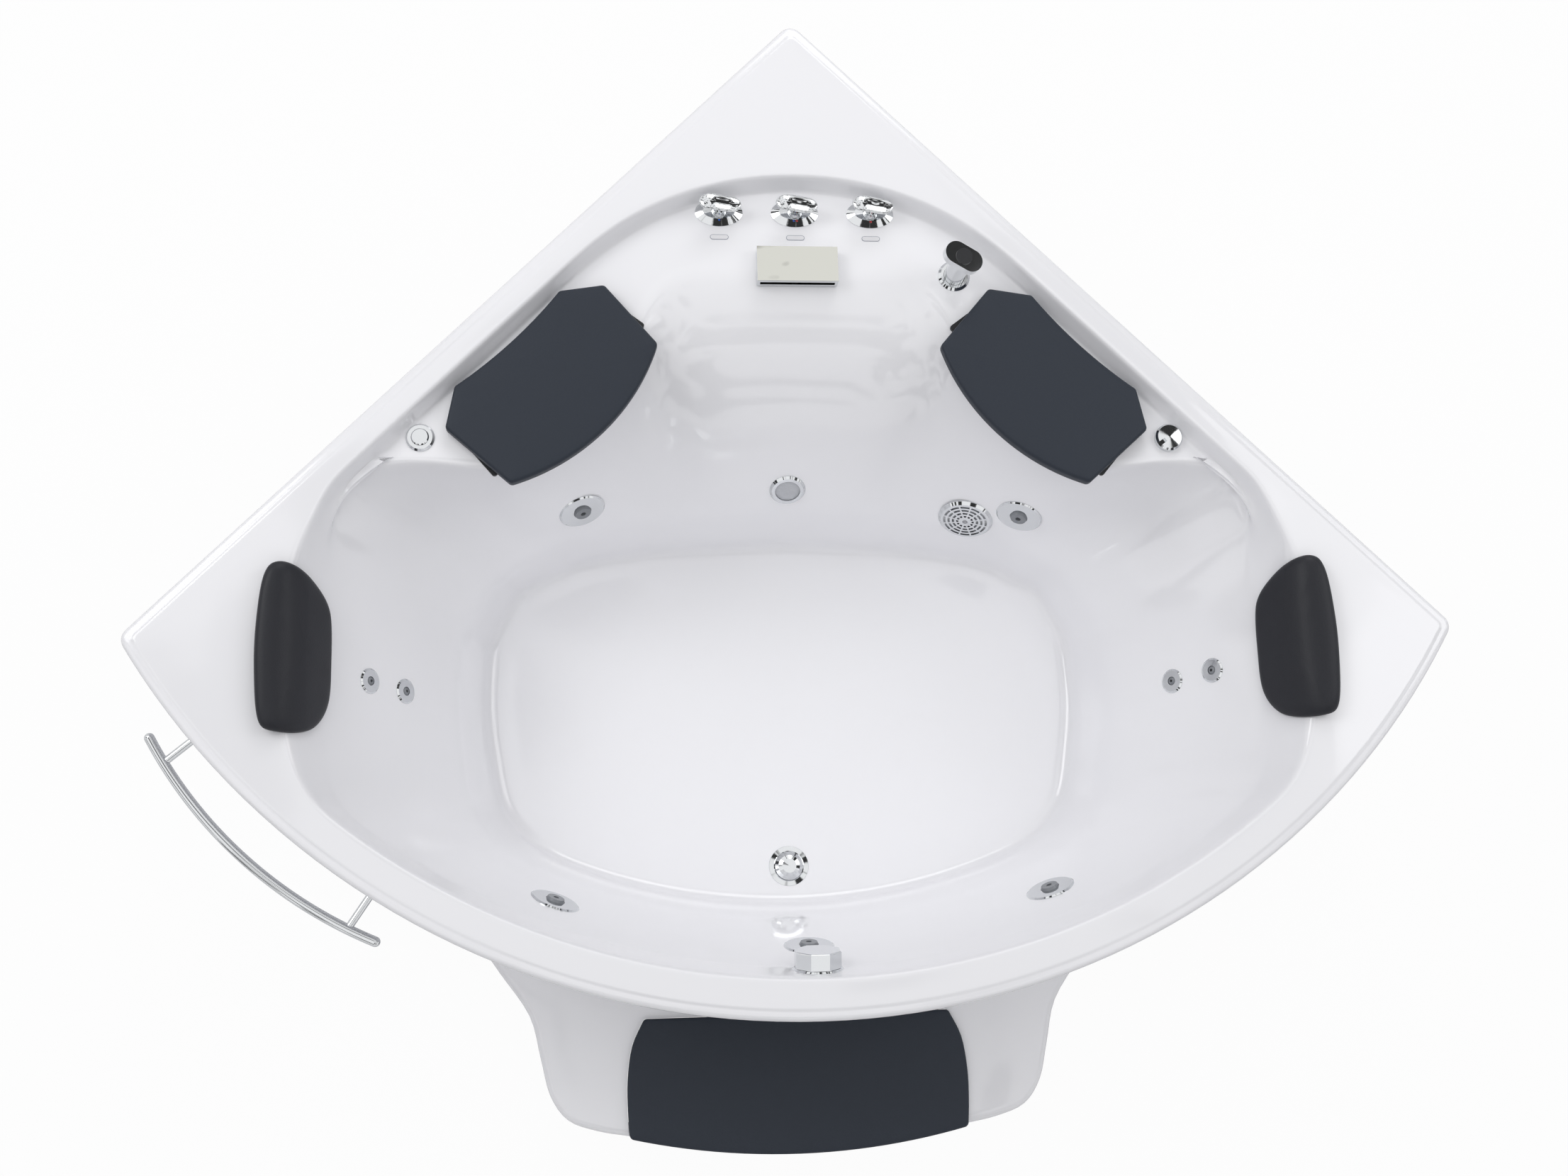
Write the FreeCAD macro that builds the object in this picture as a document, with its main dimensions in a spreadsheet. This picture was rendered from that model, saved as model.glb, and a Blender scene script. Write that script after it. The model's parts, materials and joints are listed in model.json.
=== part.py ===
import FreeCAD, Part
import Sketcher
import math
import os

# Corner jetted bath with a front step, as separate pieces at their real size in millimetres.
# X runs to the right along the front, +Y points into the corner of the room and Z is up from the floor.
# Plan sizes are measured from the line that joins the two side corners of the rim, and `at` turns
# them into the row frame, whose origin is on the floor under the middle of the whole bath.

Vector = FreeCAD.Vector
Placement = FreeCAD.Placement
Rotation = FreeCAD.Rotation

SIZES = [
    # outline and rim
    ("wall_side", 1500, "length of each side that stands against a wall"),
    ("total_height", 650, "floor to rim"),
    ("front_radius", 1237, "radius of the curved front edge"),
    ("corner_round", 22, "rounding of the three rim corners"),
    ("shell_wall", 5, "acrylic with its backing"),
    ("lip_height", 40, "turned-down lip all round the rim"),
    ("wall_rim", 51, "raised border along the walls"),
    ("front_rim", 62, "rim in front of the basin"),
    ("apex_round", 514, "radius of the border behind the taps"),
    # basin
    ("basin_width", 1634, "across the basin at the rim"),
    ("deck_drop", 35, "rear deck below the rim"),
    ("side_drop", 75, "depth at which the lounge backs become straight"),
    ("ledge_drop", 325, "ledge of the foot well below the rim"),
    ("floor_drop", 455, "basin floor below the rim"),
    ("ledge_width", 1152, "across the foot well at its ledge"),
    ("floor_width", 1068, "across the foot well at its floor"),
    ("ledge_front", 164, "ledge behind the front edge"),
    ("floor_front", 199, "floor edge behind the front edge"),
    ("floor_back", 247, "back edge of the floor"),
    ("deck_front", 286, "front edge of the rear deck at the sides"),
    ("shoulder_x", 500, "front corner of each pad shoulder"),
    ("recess_width", 456, "hollow between the shoulders"),
    ("recess_back", 602, "back edge of the hollow"),
    # soft pads
    ("pad_thick", 25, "rear pad"),
    ("pad_base", 5, "dark spacer under a rear pad"),
    ("pad_inset", 8, "spacer inside the pad's edge"),
    ("pillow_thick", 30, "head pillow"),
    # tap knobs
    ("tap_spacing", 128, "between neighbouring tap knobs"),
    ("tap_line", 722, "taps behind the corner line"),
    ("tap_plate_width", 80, "oval base plate of a tap knob"),
    ("tap_plate_depth", 50, "the same, front to back"),
    ("tap_plate_height", 8, "the same, its height"),
    ("tap_handle_width", 74, "wave-shaped handle"),
    ("tap_handle_depth", 30, "the same, front to back"),
    ("tap_handle_height", 26, "the same, its height"),
    ("tap_hub", 18, "hub that lifts the handle clear of the border behind it"),
    ("spindle", 10, "tap spindle diameter"),
    ("valve_body", 34, "tap body under the deck"),
    ("valve_length", 62, "length of a tap body"),
    # spout
    ("spout_width", 135, "waterfall spout"),
    ("spout_depth", 61, "the same, front to back"),
    ("spout_height", 24, "the same, its height"),
    ("spout_front", 592, "front face of the spout"),
    ("spout_slot", 9, "height of the water slot"),
    ("spout_wall", 5, "walls of the spout"),
    # hand shower
    ("shower_x", 267, "hand shower across"),
    ("shower_y", 612, "hand shower behind the corner line"),
    ("shower_column", 36, "diameter of the hand shower's column"),
    ("shower_ring", 54, "diameter of the holder ring"),
    ("shower_rise", 78, "column above the deck"),
    ("shower_depth", 70, "column inside the holder"),
    ("shower_head_length", 66, "flat oblong head"),
    ("shower_head_width", 38, "the same, across"),
    ("shower_head_thick", 16, "the same, thickness"),
    # push-button and air knob
    ("air_x", 615, "button and air knob across"),
    ("air_y", 326, "button and air knob behind the corner line"),
    ("air_ring", 46, "diameter of the button's ring and of the air knob"),
    ("button_face", 28, "diameter of the push-button"),
    ("button_travel", 4, "travel of the push-button"),
    ("air_body", 34, "bodies below the deck"),
    ("air_body_length", 48, "length of those bodies"),
    # jets
    ("jet_face", 82, "face of a large jet"),
    ("jet_plate", 4, "thickness of that face"),
    ("jet_ball", 31, "swivelling nozzle"),
    ("jet_body", 47, "large jet body behind the wall"),
    ("jet_length", 58, "length of that body"),
    ("mini_face", 42, "face of a small jet"),
    ("mini_body", 27, "small jet body"),
    ("mini_length", 42, "length of that body"),
    ("suction_face", 98, "suction grille"),
    ("suction_body", 86, "suction housing"),
    ("suction_length", 46, "depth of the suction housing"),
    ("lamp_face", 64, "lamp ring"),
    ("lamp_lens", 44, "lamp lens"),
    ("lamp_length", 34, "depth of the lamp housing"),
    # waste and overflow
    ("waste_y", -339, "waste in front of the corner line"),
    ("waste_face", 72, "waste flange"),
    ("waste_plug", 50, "dome plug"),
    ("waste_bore", 44, "bore of the waste"),
    ("plug_lift", 10, "lift of the pop-up plug"),
    ("trap_width", 64, "waste body under the floor"),
    ("trap_height", 58, "the same, its height"),
    ("outlet_pipe", 40, "outside diameter of the waste outlet"),
    ("outlet_reach", 70, "waste outlet below its trap"),
    ("overflow_drop", 60, "overflow below the rim"),
    ("overflow_face", 80, "overflow plate"),
    ("overflow_knob", 70, "across the flats of the overflow knob"),
    ("overflow_depth", 26, "depth of the overflow knob"),
    # apron, step and rail
    ("apron_inset", 14, "apron face behind the rim's edge"),
    ("apron_wall", 4, "apron sheet"),
    ("apron_foot", 12, "apron's lower edge above the floor"),
    ("step_height", 258, "top of the step's white body"),
    ("step_wall", 5, "sheet of the step"),
    ("step_waist", 436, "half width of the step at its middle"),
    ("step_flare", 543, "half width of the step at the apron"),
    ("step_front", 816, "front of the step before the corner line"),
    ("step_pad_thick", 24, "dark pad on the step"),
    ("step_pad_sink", 12, "how deep the pad sits in the step"),
    ("step_pad_width", 576, "pad across its front"),
    ("step_pad_front", 824, "front edge of the pad before the corner line"),
    ("rail_drop", 90, "grab rail below the rim's top"),
    ("pipe_drop", 414, "ring pipe below the rim's top"),
    ("rail_tube", 16, "grab rail tube"),
    ("rail_post", 12, "rail post"),
    # underframe
    ("board_thick", 12, "board under the basin floor"),
    ("tube", 30, "square steel tube"),
    ("tube_wall", 2, "its wall"),
    ("bearer_x", 330, "bearers each side of the middle"),
    ("foot_disc", 50, "foot pad"),
    ("foot_stud", 12, "threaded foot stud"),
    ("pump_motor", 120, "pump motor diameter"),
    ("pump_length", 210, "pump motor length"),
    ("suction_pipe", 50, "suction pipe"),
    ("pressure_pipe", 32, "pressure pipe and manifold"),
    # named clearances
    ("seat_sink", 0.8, "depth of the flat seats cut for the fittings"),
    ("fit_gap", 0.3, "gap between faces that don't bear on each other"),
    ("running_gap", 0.05, "radial clearance of a shaft in its bore"),
]

doc = FreeCAD.newDocument("corner_bath")
sheet = doc.addObject("Spreadsheet::Sheet", "dims")
for row, (alias, value, meaning) in enumerate(SIZES, start=1):
    sheet.set("A%d" % row, meaning)
    sheet.set("B%d" % row, str(value))
    sheet.setAlias("B%d" % row, alias)
doc.recompute()


class Sizes:
    """Reads a size from the sheet by its name."""

    def __getattr__(self, alias):
        return float(getattr(sheet, alias))


size = Sizes()

half_diagonal = size.wall_side / math.sqrt(2)
arc_centre = math.sqrt(size.front_radius ** 2 - half_diagonal ** 2)
apex_tip = half_diagonal - size.corner_round * (math.sqrt(2) - 1)
middle_y = (apex_tip - size.step_pad_front) / 2
rim_top = size.total_height
deck_top = rim_top - size.deck_drop
floor_top = rim_top - size.floor_drop
UP = Vector(0, 0, 1)


def at(x, y, z):
    """A point of the row frame from a plan place and a height above the floor."""
    return Vector(x, y - middle_y, z)


# ---------------------------------------------------------------- basin surface
# The basin is one smooth surface. Its ribs run down from the rim in vertical planes through the
# basin's middle, and each ring joins the same point of every rib. The outlines below are for the
# right half, from the front to the back, and the corner points are rounded by the smooth surface.

basin_middle = -60.0
half_basin = size.basin_width / 2
half_ledge = size.ledge_width / 2
half_floor = size.floor_width / 2
half_recess = size.recess_width / 2
border_line = half_diagonal - size.wall_rim * math.sqrt(2)
border_arc_y = border_line - size.apex_round * math.sqrt(2)
side_lean = 54.0        # how far the lounge back leans in over side_drop
front_lean = 18.0       # the same at the front wall
ledge_back = size.floor_back + 36


def on_front(radius, x):
    """The point at x on a front arc of the given radius."""
    return (x, arc_centre - math.sqrt(radius ** 2 - x ** 2))


def on_border(x):
    """The point at x on the inner edge of the border along the right wall."""
    return (x, border_line - x)


rim_radius = size.front_radius - size.front_rim
edge_radius = rim_radius - front_lean
ledge_radius = size.front_radius - size.ledge_front
floor_radius = size.front_radius - size.floor_front

RIM = (rim_radius, [on_front(rim_radius, half_basin - 30), (half_basin + 5, -55),
                    (half_basin - 9, 105), on_border(half_basin - 68),
                    on_border(size.apex_round / math.sqrt(2))], True)
EDGE = (edge_radius, [on_front(edge_radius, half_basin - 76), (half_basin - 49, -55),
                      (half_basin - 62, 85), (half_basin - 80, size.deck_front - 20),
                      (half_basin - 130, size.deck_front), (size.shoulder_x + 80, size.deck_front),
                      (size.shoulder_x, size.deck_front - 26), (size.shoulder_x - 80, 302),
                      (size.shoulder_x - 154, 362), (half_recess + 62, 432), (half_recess + 24, 519),
                      (half_recess - 4, size.recess_back - 12), (half_recess - 50, size.recess_back),
                      (0, size.recess_back)], False)
LEDGE = (ledge_radius, [on_front(ledge_radius, half_ledge - 74), (half_ledge - 18, -230),
                        (half_ledge, -60), (half_ledge - 8, 60), (half_ledge - 64, 165),
                        (400, ledge_back - 51), (240, ledge_back - 15), (0, ledge_back)], False)
FLOOR = (floor_radius, [on_front(floor_radius, half_floor - 82), (half_floor - 28, -225),
                        (half_floor, -60), (half_floor - 6, 70), (half_floor - 54, 160),
                        (380, size.floor_back - 35), (240, size.floor_back - 11),
                        (0, size.floor_back)], False)

RIB_ANGLES = [-90, -76, -62, -50, -40, -32, -25, -19, -14, -9, -3, 3, 8, 13, 17, 20, 22.5, 25,
              28, 31, 34, 38, 43, 48, 54, 60, 65, 69, 72.5, 77, 83, 90]


def reach(outline, angle):
    """How far an outline is from the basin's middle in the direction of angle, in degrees."""
    radius, corners, round_back = outline
    dx, dy = math.cos(math.radians(angle)), math.sin(math.radians(angle))
    for (ax, ay), (bx, by) in zip(corners, corners[1:]):
        ay, by = ay - basin_middle, by - basin_middle
        start, end = dx * ay - dy * ax, dx * by - dy * bx
        if start <= 0 < end or (start < 0 and abs(end) < 1e-6):
            share = start / (start - end)
            return math.hypot(ax + (bx - ax) * share, ay + (by - ay) * share)
    centre = (border_arc_y if round_back and angle > 0 else arc_centre) - basin_middle
    radius = size.apex_round if round_back and angle > 0 else radius
    along = centre * dy
    return along + math.sqrt(along ** 2 - centre ** 2 + radius ** 2)


def ease(low, high, value):
    """0 below low, 1 above high, smooth between."""
    share = min(max((value - low) / (high - low), 0), 1)
    return share * share * (3 - 2 * share)


def mix(first, second, share):
    return first + (second - first) * share


def rib(angle):
    """Points (distance, drop below the rim) down one rib of the basin."""
    rim, edge, ledge, well = (reach(outline, angle) for outline in (RIM, EDGE, LEDGE, FLOOR))
    deck = ease(16, 24, angle)
    edge_drop = mix(size.side_drop, size.deck_drop, deck)
    points = [(rim, 0)]
    step_run, support = 8.0, 22.0
    on_deck = [rim - step_run, rim - 2 * step_run, rim - step_run - support, edge + support, edge]
    for share, distance in zip((0.25, 0.45, 0.65, 0.85, 1), on_deck):
        points.append((mix(mix(rim, edge, share), distance, deck),
                       mix(size.side_drop * share, size.deck_drop, deck)))
    bulge = mix(mix(1, 1.35, ease(26, 34, angle)), 0.55, ease(56, 72, angle))
    for share in (0.1, 0.3, 0.5, 0.7, 0.9, 1):
        points.append((mix(edge, ledge, share ** bulge), mix(edge_drop, size.ledge_drop, share)))
    for share in (0.4, 0.8, 1):
        points.append((mix(ledge, well, share), mix(size.ledge_drop, size.floor_drop, share)))
    points.append((well - 45, size.floor_drop))
    return points


def basin_cage():
    """Rings of points, from the rim down, each ring anticlockwise from the front."""
    ribs = [(angle, rib(angle)) for angle in RIB_ANGLES]
    ribs += [(180 - angle, points) for angle, points in reversed(ribs[1:-1])]
    rings = []
    for level in range(len(ribs[0][1])):
        ring = []
        for angle, points in ribs:
            distance, drop = points[level]
            turn = math.radians(angle)
            ring.append(at(distance * math.cos(turn), basin_middle + distance * math.sin(turn),
                           rim_top - drop))
        rings.append(ring)
    return rings


def grown(rings, thickness):
    """The same rings moved outwards, away from the water, by thickness."""
    count = len(rings[0])
    result = []
    for level, ring in enumerate(rings):
        above, below = rings[max(level - 1, 0)], rings[min(level + 1, len(rings) - 1)]
        moved = []
        for i, point in enumerate(ring):
            along = ring[(i + 1) % count] - ring[i - 1]
            down = below[i] - above[i]
            outward = along.cross(down).normalize()
            if outward.z > 0:
                outward = outward * -1
            moved.append(point + outward * thickness)
        result.append(moved)
    return result


def smooth_solid(rings):
    """A solid whose side is the smooth surface of the rings, closed flat at both ends."""
    columns = [list(column) for column in zip(*rings)]
    count, levels = len(columns), len(rings)
    surface = Part.BSplineSurface()
    surface.buildFromPolesMultsKnots(columns, [1] * (count + 1), [4] + [1] * (levels - 4) + [4],
                                     [float(i) for i in range(count + 1)],
                                     [float(i) for i in range(levels - 2)], True, False, 3, 3)
    side = surface.toShape()
    ends = [edge for edge in side.Edges if edge.isClosed() and edge.BoundBox.ZLength < 0.01]
    caps = [Part.Face(Part.Wire([edge])) for edge in ends]
    shell = Part.makeShell([side] + caps)
    shell.sewShape()
    solid = Part.Solid(shell)
    if solid.Volume < 0:
        solid.reverse()
    return solid, surface


def rim_outline(inset):
    """The bath's plan outline, moved inwards by inset: two wall sides and the curved front."""
    radius = size.front_radius - inset
    side = half_diagonal - inset * math.sqrt(2)
    # where the wall line y = side - x meets the front arc
    half_sum = (side - arc_centre) / 2
    corner_x = half_sum + math.sqrt((radius ** 2 - (side - arc_centre) ** 2 / 2) / 2)
    corner = Vector(corner_x, side - corner_x, 0)
    apex = Vector(0, side, 0)
    front = Vector(0, arc_centre - radius, 0)
    other = Vector(-corner.x, corner.y, 0)
    wire = Part.Wire([Part.LineSegment(corner, apex).toShape(), Part.LineSegment(apex, other).toShape(),
                      Part.Arc(other, front, corner).toShape()])
    return wire


def rim_prism(inset, low, high):
    """A prism on the plan outline with its three upright edges rounded."""
    prism = Part.Face(rim_outline(inset)).extrude(Vector(0, 0, high - low))
    upright = [edge for edge in prism.Edges
               if abs(edge.Vertexes[0].Z - edge.Vertexes[-1].Z) > 0.9 * (high - low)]
    prism = prism.makeFillet(size.corner_round - min(inset, size.corner_round / 2), upright)
    prism.translate(at(0, 0, low))
    return prism


inner_rings = basin_cage()
above_rim = [point + UP * 12 for point in inner_rings[0]]
basin_space, basin_surface = smooth_solid([above_rim] + inner_rings)
outer_rings = grown(inner_rings, size.shell_wall)
under_rim = [Vector(point.x, point.y, rim_top - size.shell_wall / 2) for point in outer_rings[0]]
basin_back = smooth_solid([under_rim] + outer_rings[1:])[0]

tray = rim_prism(0, rim_top - size.lip_height, rim_top)
tray = tray.cut(rim_prism(size.shell_wall, rim_top - size.lip_height - 1, rim_top - size.shell_wall))
bath = tray.fuse(basin_back).cut(basin_space)


# ---------------------------------------------------------------- ways of making pieces
pieces = []


def piece(shape_object, label):
    """Gives a finished sub-part its label and puts it on the list."""
    shape_object.Label = label
    pieces.append(shape_object)
    return shape_object


def shaped(label, shape, placement=None):
    """A sub-part whose shape is worked out directly."""
    feature = doc.addObject("Part::Feature", label)
    feature.Shape = shape
    if placement is not None:
        feature.Placement = placement.multiply(shape.Placement)
    return piece(feature, label)


def cylinder(name, diameter, height, place=None, turn=None):
    """A cylinder standing on its place, bound to the sheet."""
    rod = doc.addObject("Part::Cylinder", name)
    rod.setExpression("Radius", "(%s) / 2" % diameter)
    rod.setExpression("Height", height)
    rod.Placement = Placement(place or Vector(), turn or Rotation())
    return rod


def block(name, length, width, height, corner=None, turn=None):
    """A box from its low corner, bound to the sheet."""
    box = doc.addObject("Part::Box", name)
    box.setExpression("Length", length)
    box.setExpression("Width", width)
    box.setExpression("Height", height)
    box.Placement = Placement(corner or Vector(), turn or Rotation())
    return box


def cut(name, base, tool):
    result = doc.addObject("Part::Cut", name)
    result.Base, result.Tool = base, tool
    return result


def fused(name, *members):
    result = doc.addObject("Part::MultiFuse", name)
    result.Shapes = list(members)
    return result


def turned(name, profile, placement=None):
    """A body turned about its own Z axis. profile lists (radius, height) as sheet expressions."""
    body = doc.addObject("PartDesign::Body", name)
    sketch = body.newObject("Sketcher::SketchObject", name + "_profile")
    plane = [entry for entry in body.Origin.OriginFeatures if entry.Role == "XZ_Plane"][0]
    sketch.AttachmentSupport = [(plane, "")]
    sketch.MapMode = "FlatFace"
    values = []
    for radius, height in profile:
        across, up = body.evalExpression(radius), body.evalExpression(height)
        values.append(Vector(float(across), float(up), 0))
    count = len(values)
    for i in range(count):
        sketch.addGeometry(Part.LineSegment(values[i], values[(i + 1) % count]), False)
    for i in range(count):
        sketch.addConstraint(Sketcher.Constraint("Coincident", i, 2, (i + 1) % count, 1))
    for i, (radius, height) in enumerate(profile):
        if values[i].x < 1e-9:
            sketch.addConstraint(Sketcher.Constraint("PointOnObject", i, 1, -2))
        else:
            index = sketch.addConstraint(Sketcher.Constraint("DistanceX", -1, 1, i, 1, values[i].x))
            sketch.setExpression("Constraints[%d]" % index, radius)
        if abs(values[i].y) < 1e-9:
            sketch.addConstraint(Sketcher.Constraint("PointOnObject", i, 1, -1))
        else:
            index = sketch.addConstraint(Sketcher.Constraint("DistanceY", -1, 1, i, 1, values[i].y))
            sketch.setExpression("Constraints[%d]" % index, height)
    turning = body.newObject("PartDesign::Revolution", name + "_turning")
    turning.Profile = sketch
    turning.ReferenceAxis = (sketch, ["V_Axis"])
    turning.Angle = 360
    body.Placement = placement or Placement()
    return body


def copies(label, master, placements):
    """A node of separate equal solids, each a copy of the master at its own placement."""
    doc.recompute()
    solids = []
    for placement in placements:
        solid = master.Shape.copy()
        solid.Placement = placement.multiply(solid.Placement)
        solids.append(solid)
    return shaped(label, Part.makeCompound(solids) if len(solids) > 1 else solids[0])


def seat(angle, drop):
    """Placement of a flat seat on the basin wall, in the direction angle and at a drop below the rim.

    Its Z axis points off the wall into the basin.
    """
    middle = at(0, basin_middle, rim_top - drop)
    towards = Vector(math.cos(math.radians(angle)), math.sin(math.radians(angle)), 0)
    hits = Part.Line(middle, middle + towards).intersectCS(basin_surface)[0]
    points = [Vector(hit.X, hit.Y, hit.Z) for hit in hits]
    point = [place for place in points if (place - middle).dot(towards) > 0][0]
    normal = basin_surface.normal(*basin_surface.parameter(point))
    if normal.dot(towards) > 0:
        normal = normal * -1
    across = UP.cross(normal).normalize()
    rising = normal.cross(across)
    return Placement(point - normal * size.seat_sink, Rotation(across, rising, normal, "ZXY"))


def softened(shape, radius, choose=None):
    """The shape with its edges rounded."""
    edges = [edge for edge in shape.Edges if choose is None or choose(edge)]
    return shape.makeFillet(radius, edges)


def level_edge(height):
    """Chooses the edges that lie flat at one height."""
    return lambda edge: abs(edge.BoundBox.ZMin - height) < 0.01 and abs(edge.BoundBox.ZMax - height) < 0.01


def hose(points, diameter):
    """A solid tube on straight runs joined by arcs as large as the runs allow."""
    edges, start = [], points[0]
    for before, corner, after in zip(points, points[1:], points[2:]):
        back, forth = (before - corner), (after - corner)
        reach_back = 0.45 * min(back.Length, forth.Length)
        first = corner + back.normalize() * reach_back
        last = corner + forth.normalize() * reach_back
        half = (back + forth).normalize()
        lean = half.getAngle(back)
        to_centre = reach_back / math.cos(lean)
        radius = reach_back * math.tan(lean)
        middle = corner + half * (to_centre - radius)
        edges.append(Part.LineSegment(start, first).toShape())
        edges.append(Part.Arc(first, middle, last).toShape())
        start = last
    edges.append(Part.LineSegment(start, points[-1]).toShape())
    route = Part.Wire(edges)
    circle = Part.Wire([Part.Circle(points[0], points[1] - points[0], diameter / 2).toShape()])
    return route.makePipeShell([circle], True, True)


# ---------------------------------------------------------------- where the fittings are
# Each is an angle about the basin's middle and a drop below the rim.
LARGE_JETS = {"rear_left": (138.0, 257), "rear_right": (37.4, 249), "front_left": (220.2, 190),
              "front_middle": (270, 175), "front_right": (319.8, 190)}
SMALL_JETS = [(178.9, 156), (179.4, 221), (1.1, 156), (0.6, 221)]
SUCTION = (44.9, 300)
LAMP = (90, 282)
OVERFLOW = (270, size.overflow_drop)

jet_seats = {name: seat(*place) for name, place in LARGE_JETS.items()}
mini_seats = [seat(*place) for place in SMALL_JETS]
suction_seat = seat(*SUCTION)
lamp_seat = seat(*LAMP)
overflow_seat = seat(*OVERFLOW)
seat_top = deck_top - size.seat_sink
under_wall = size.shell_wall - size.seat_sink
tap_places = {"cold": at(-size.tap_spacing, size.tap_line, seat_top),
              "selector": at(0, size.tap_line, seat_top),
              "hot": at(size.tap_spacing, size.tap_line, seat_top)}
button_place = at(-size.air_x, size.air_y, seat_top)
air_place = at(size.air_x, size.air_y, seat_top)
shower_place = at(size.shower_x, size.shower_y, seat_top)
spout_place = at(0, size.spout_front + size.spout_depth / 2, seat_top)
waste_place = at(0, size.waste_y, floor_top - size.seat_sink)


# ---------------------------------------------------------------- bath shell
def drilling(place, hole, face, depth=30.0, turn=0.0):
    """What is cut for a round fitting: its hole, and a flat seat for its face.

    It is turned about its own axis, so that its seam stays off the seam of the basin wall.
    """
    tool = Part.makeCylinder(hole / 2 + size.fit_gap, depth + 12, Vector(0, 0, -depth))
    tool = tool.fuse(Part.makeCylinder(face / 2 + size.fit_gap, 14))
    tool.Placement = place.multiply(Placement(Vector(), Rotation(UP, turn)))
    return tool


def oval(width, depth, height):
    """A flat oval edge wire about the Z axis."""
    return Part.Wire([Part.Ellipse(Vector(0, 0, height), width / 2, depth / 2).toShape()])


seam_turns = {"rear_left": 45.0}
drills = [drilling(place, size.jet_body, size.jet_face, turn=seam_turns.get(name, 0.0))
          for name, place in jet_seats.items()]
drills += [drilling(place, size.mini_body, size.mini_face) for place in mini_seats]
drills.append(drilling(suction_seat, size.suction_body, size.suction_face))
drills.append(drilling(lamp_seat, size.lamp_lens + 8, size.lamp_face))
drills.append(drilling(overflow_seat, 32, size.overflow_face))
tap_neck = size.spindle + 14
for place in tap_places.values():
    plate_seat = Part.Face(oval(size.tap_plate_width + 0.6, size.tap_plate_depth + 0.6, 0)).extrude(UP * 14)
    plate_seat.translate(place)
    drills.append(plate_seat.fuse(drilling(Placement(place, Rotation()), tap_neck, tap_neck + 2)))
for place in (button_place, air_place):
    drills.append(drilling(Placement(place, Rotation()), size.air_body, size.air_ring))
shower_sleeve = size.shower_column + 8
drills.append(drilling(Placement(shower_place, Rotation()), shower_sleeve, size.shower_ring))
spout_tail = 20.0
spout_seat = Part.makeBox(size.spout_width + 0.6, size.spout_depth + 0.6, 14,
                          spout_place - Vector(size.spout_width / 2 + 0.3, size.spout_depth / 2 + 0.3, 0))
drills.append(spout_seat.fuse(drilling(Placement(spout_place, Rotation()), spout_tail, spout_tail + 2)))
waste_tail = size.waste_bore + 6
drills.append(drilling(Placement(waste_place, Rotation()), waste_tail, size.waste_face))
drilled = bath
for tool in drills:
    drilled = drilled.cut(tool)
shaped("bath_shell", drilled)

# ---------------------------------------------------------------- large jets
ball_hole = "dims.jet_ball / 2 + dims.fit_gap"
jet_face = turned("jet_face", [(ball_hole, "0"), ("dims.jet_face / 2", "0"),
                               ("dims.jet_face / 2", "dims.jet_plate / 2"),
                               ("dims.jet_face / 2 - 3", "dims.jet_plate"),
                               (ball_hole, "dims.jet_plate")])
copies("jet_faces", jet_face, jet_seats.values())
jet_body = turned("jet_barrel", [("0", "0"), ("dims.jet_body / 2", "0"),
                                 ("dims.jet_body / 2", "dims.jet_length - 18"),
                                 ("dims.jet_body / 2 + 10", "dims.jet_length - 18"),
                                 ("dims.jet_body / 2 + 10", "dims.jet_length - 7"),
                                 ("dims.jet_body / 2", "dims.jet_length - 7"),
                                 ("dims.jet_body / 2", "dims.jet_length"),
                                 (ball_hole, "dims.jet_length"), (ball_hole, "18"), ("0", "18")])
water_port = cylinder("jet_water_port", "dims.pressure_pipe * 0.75", "dims.jet_body / 2 + 16",
                      Vector(0, 0, 14), Rotation(Vector(1, 0, 0), 90))
air_port = cylinder("jet_air_port", "12", "dims.jet_body / 2 + 12", Vector(0, 0, 26),
                    Rotation(Vector(0, 1, 0), 90))
air_port_bored = cut("jet_ports_cut", fused("jet_ports", water_port, air_port),
                     cylinder("jet_chamber", "dims.jet_ball + 4", "dims.jet_length"))
jet_whole = fused("jet_with_ports", jet_body, air_port_bored)
behind_jet = Placement(Vector(0, 0, -size.jet_length), Rotation())
copies("jet_bodies", jet_whole, [place.multiply(behind_jet) for place in jet_seats.values()])

ball = doc.addObject("Part::Sphere", "nozzle_ball")
ball.setExpression("Radius", "dims.jet_ball / 2")
ball.Angle1 = -40
ball.Angle2 = 29
nozzle = cut("nozzle", ball, cylinder("nozzle_bore", "dims.jet_ball * 0.3", "dims.jet_ball * 2",
                                      Vector(0, 0, -size.jet_ball)))
ball_rise = 1.0
for name, place in jet_seats.items():
    copies("nozzle_" + name, nozzle, [place.multiply(Placement(Vector(0, 0, ball_rise), Rotation()))])

# ---------------------------------------------------------------- small jets
mini_bore = 7.5
mini_face = turned("mini_face", [(str(mini_bore), "0"), ("dims.mini_face / 2", "0"),
                                 ("dims.mini_face / 2", "1.5"), ("dims.mini_face / 2 - 3", "3.5"),
                                 (str(mini_bore), "3.5")])
copies("small_jet_faces", mini_face, mini_seats)
mini_body = turned("mini_barrel", [("0", "0"), ("dims.mini_body / 2", "0"),
                                   ("dims.mini_body / 2", "dims.mini_length - 17"),
                                   ("dims.mini_body / 2 + 6", "dims.mini_length - 17"),
                                   ("dims.mini_body / 2 + 6", "dims.mini_length - 9"),
                                   ("dims.mini_body / 2", "dims.mini_length - 9"),
                                   ("dims.mini_body / 2", "dims.mini_length"),
                                   (str(mini_bore), "dims.mini_length"), (str(mini_bore), "12"), ("0", "12")])
behind_mini = Placement(Vector(0, 0, -size.mini_length), Rotation())
copies("small_jet_bodies", mini_body, [place.multiply(behind_mini) for place in mini_seats])
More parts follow.
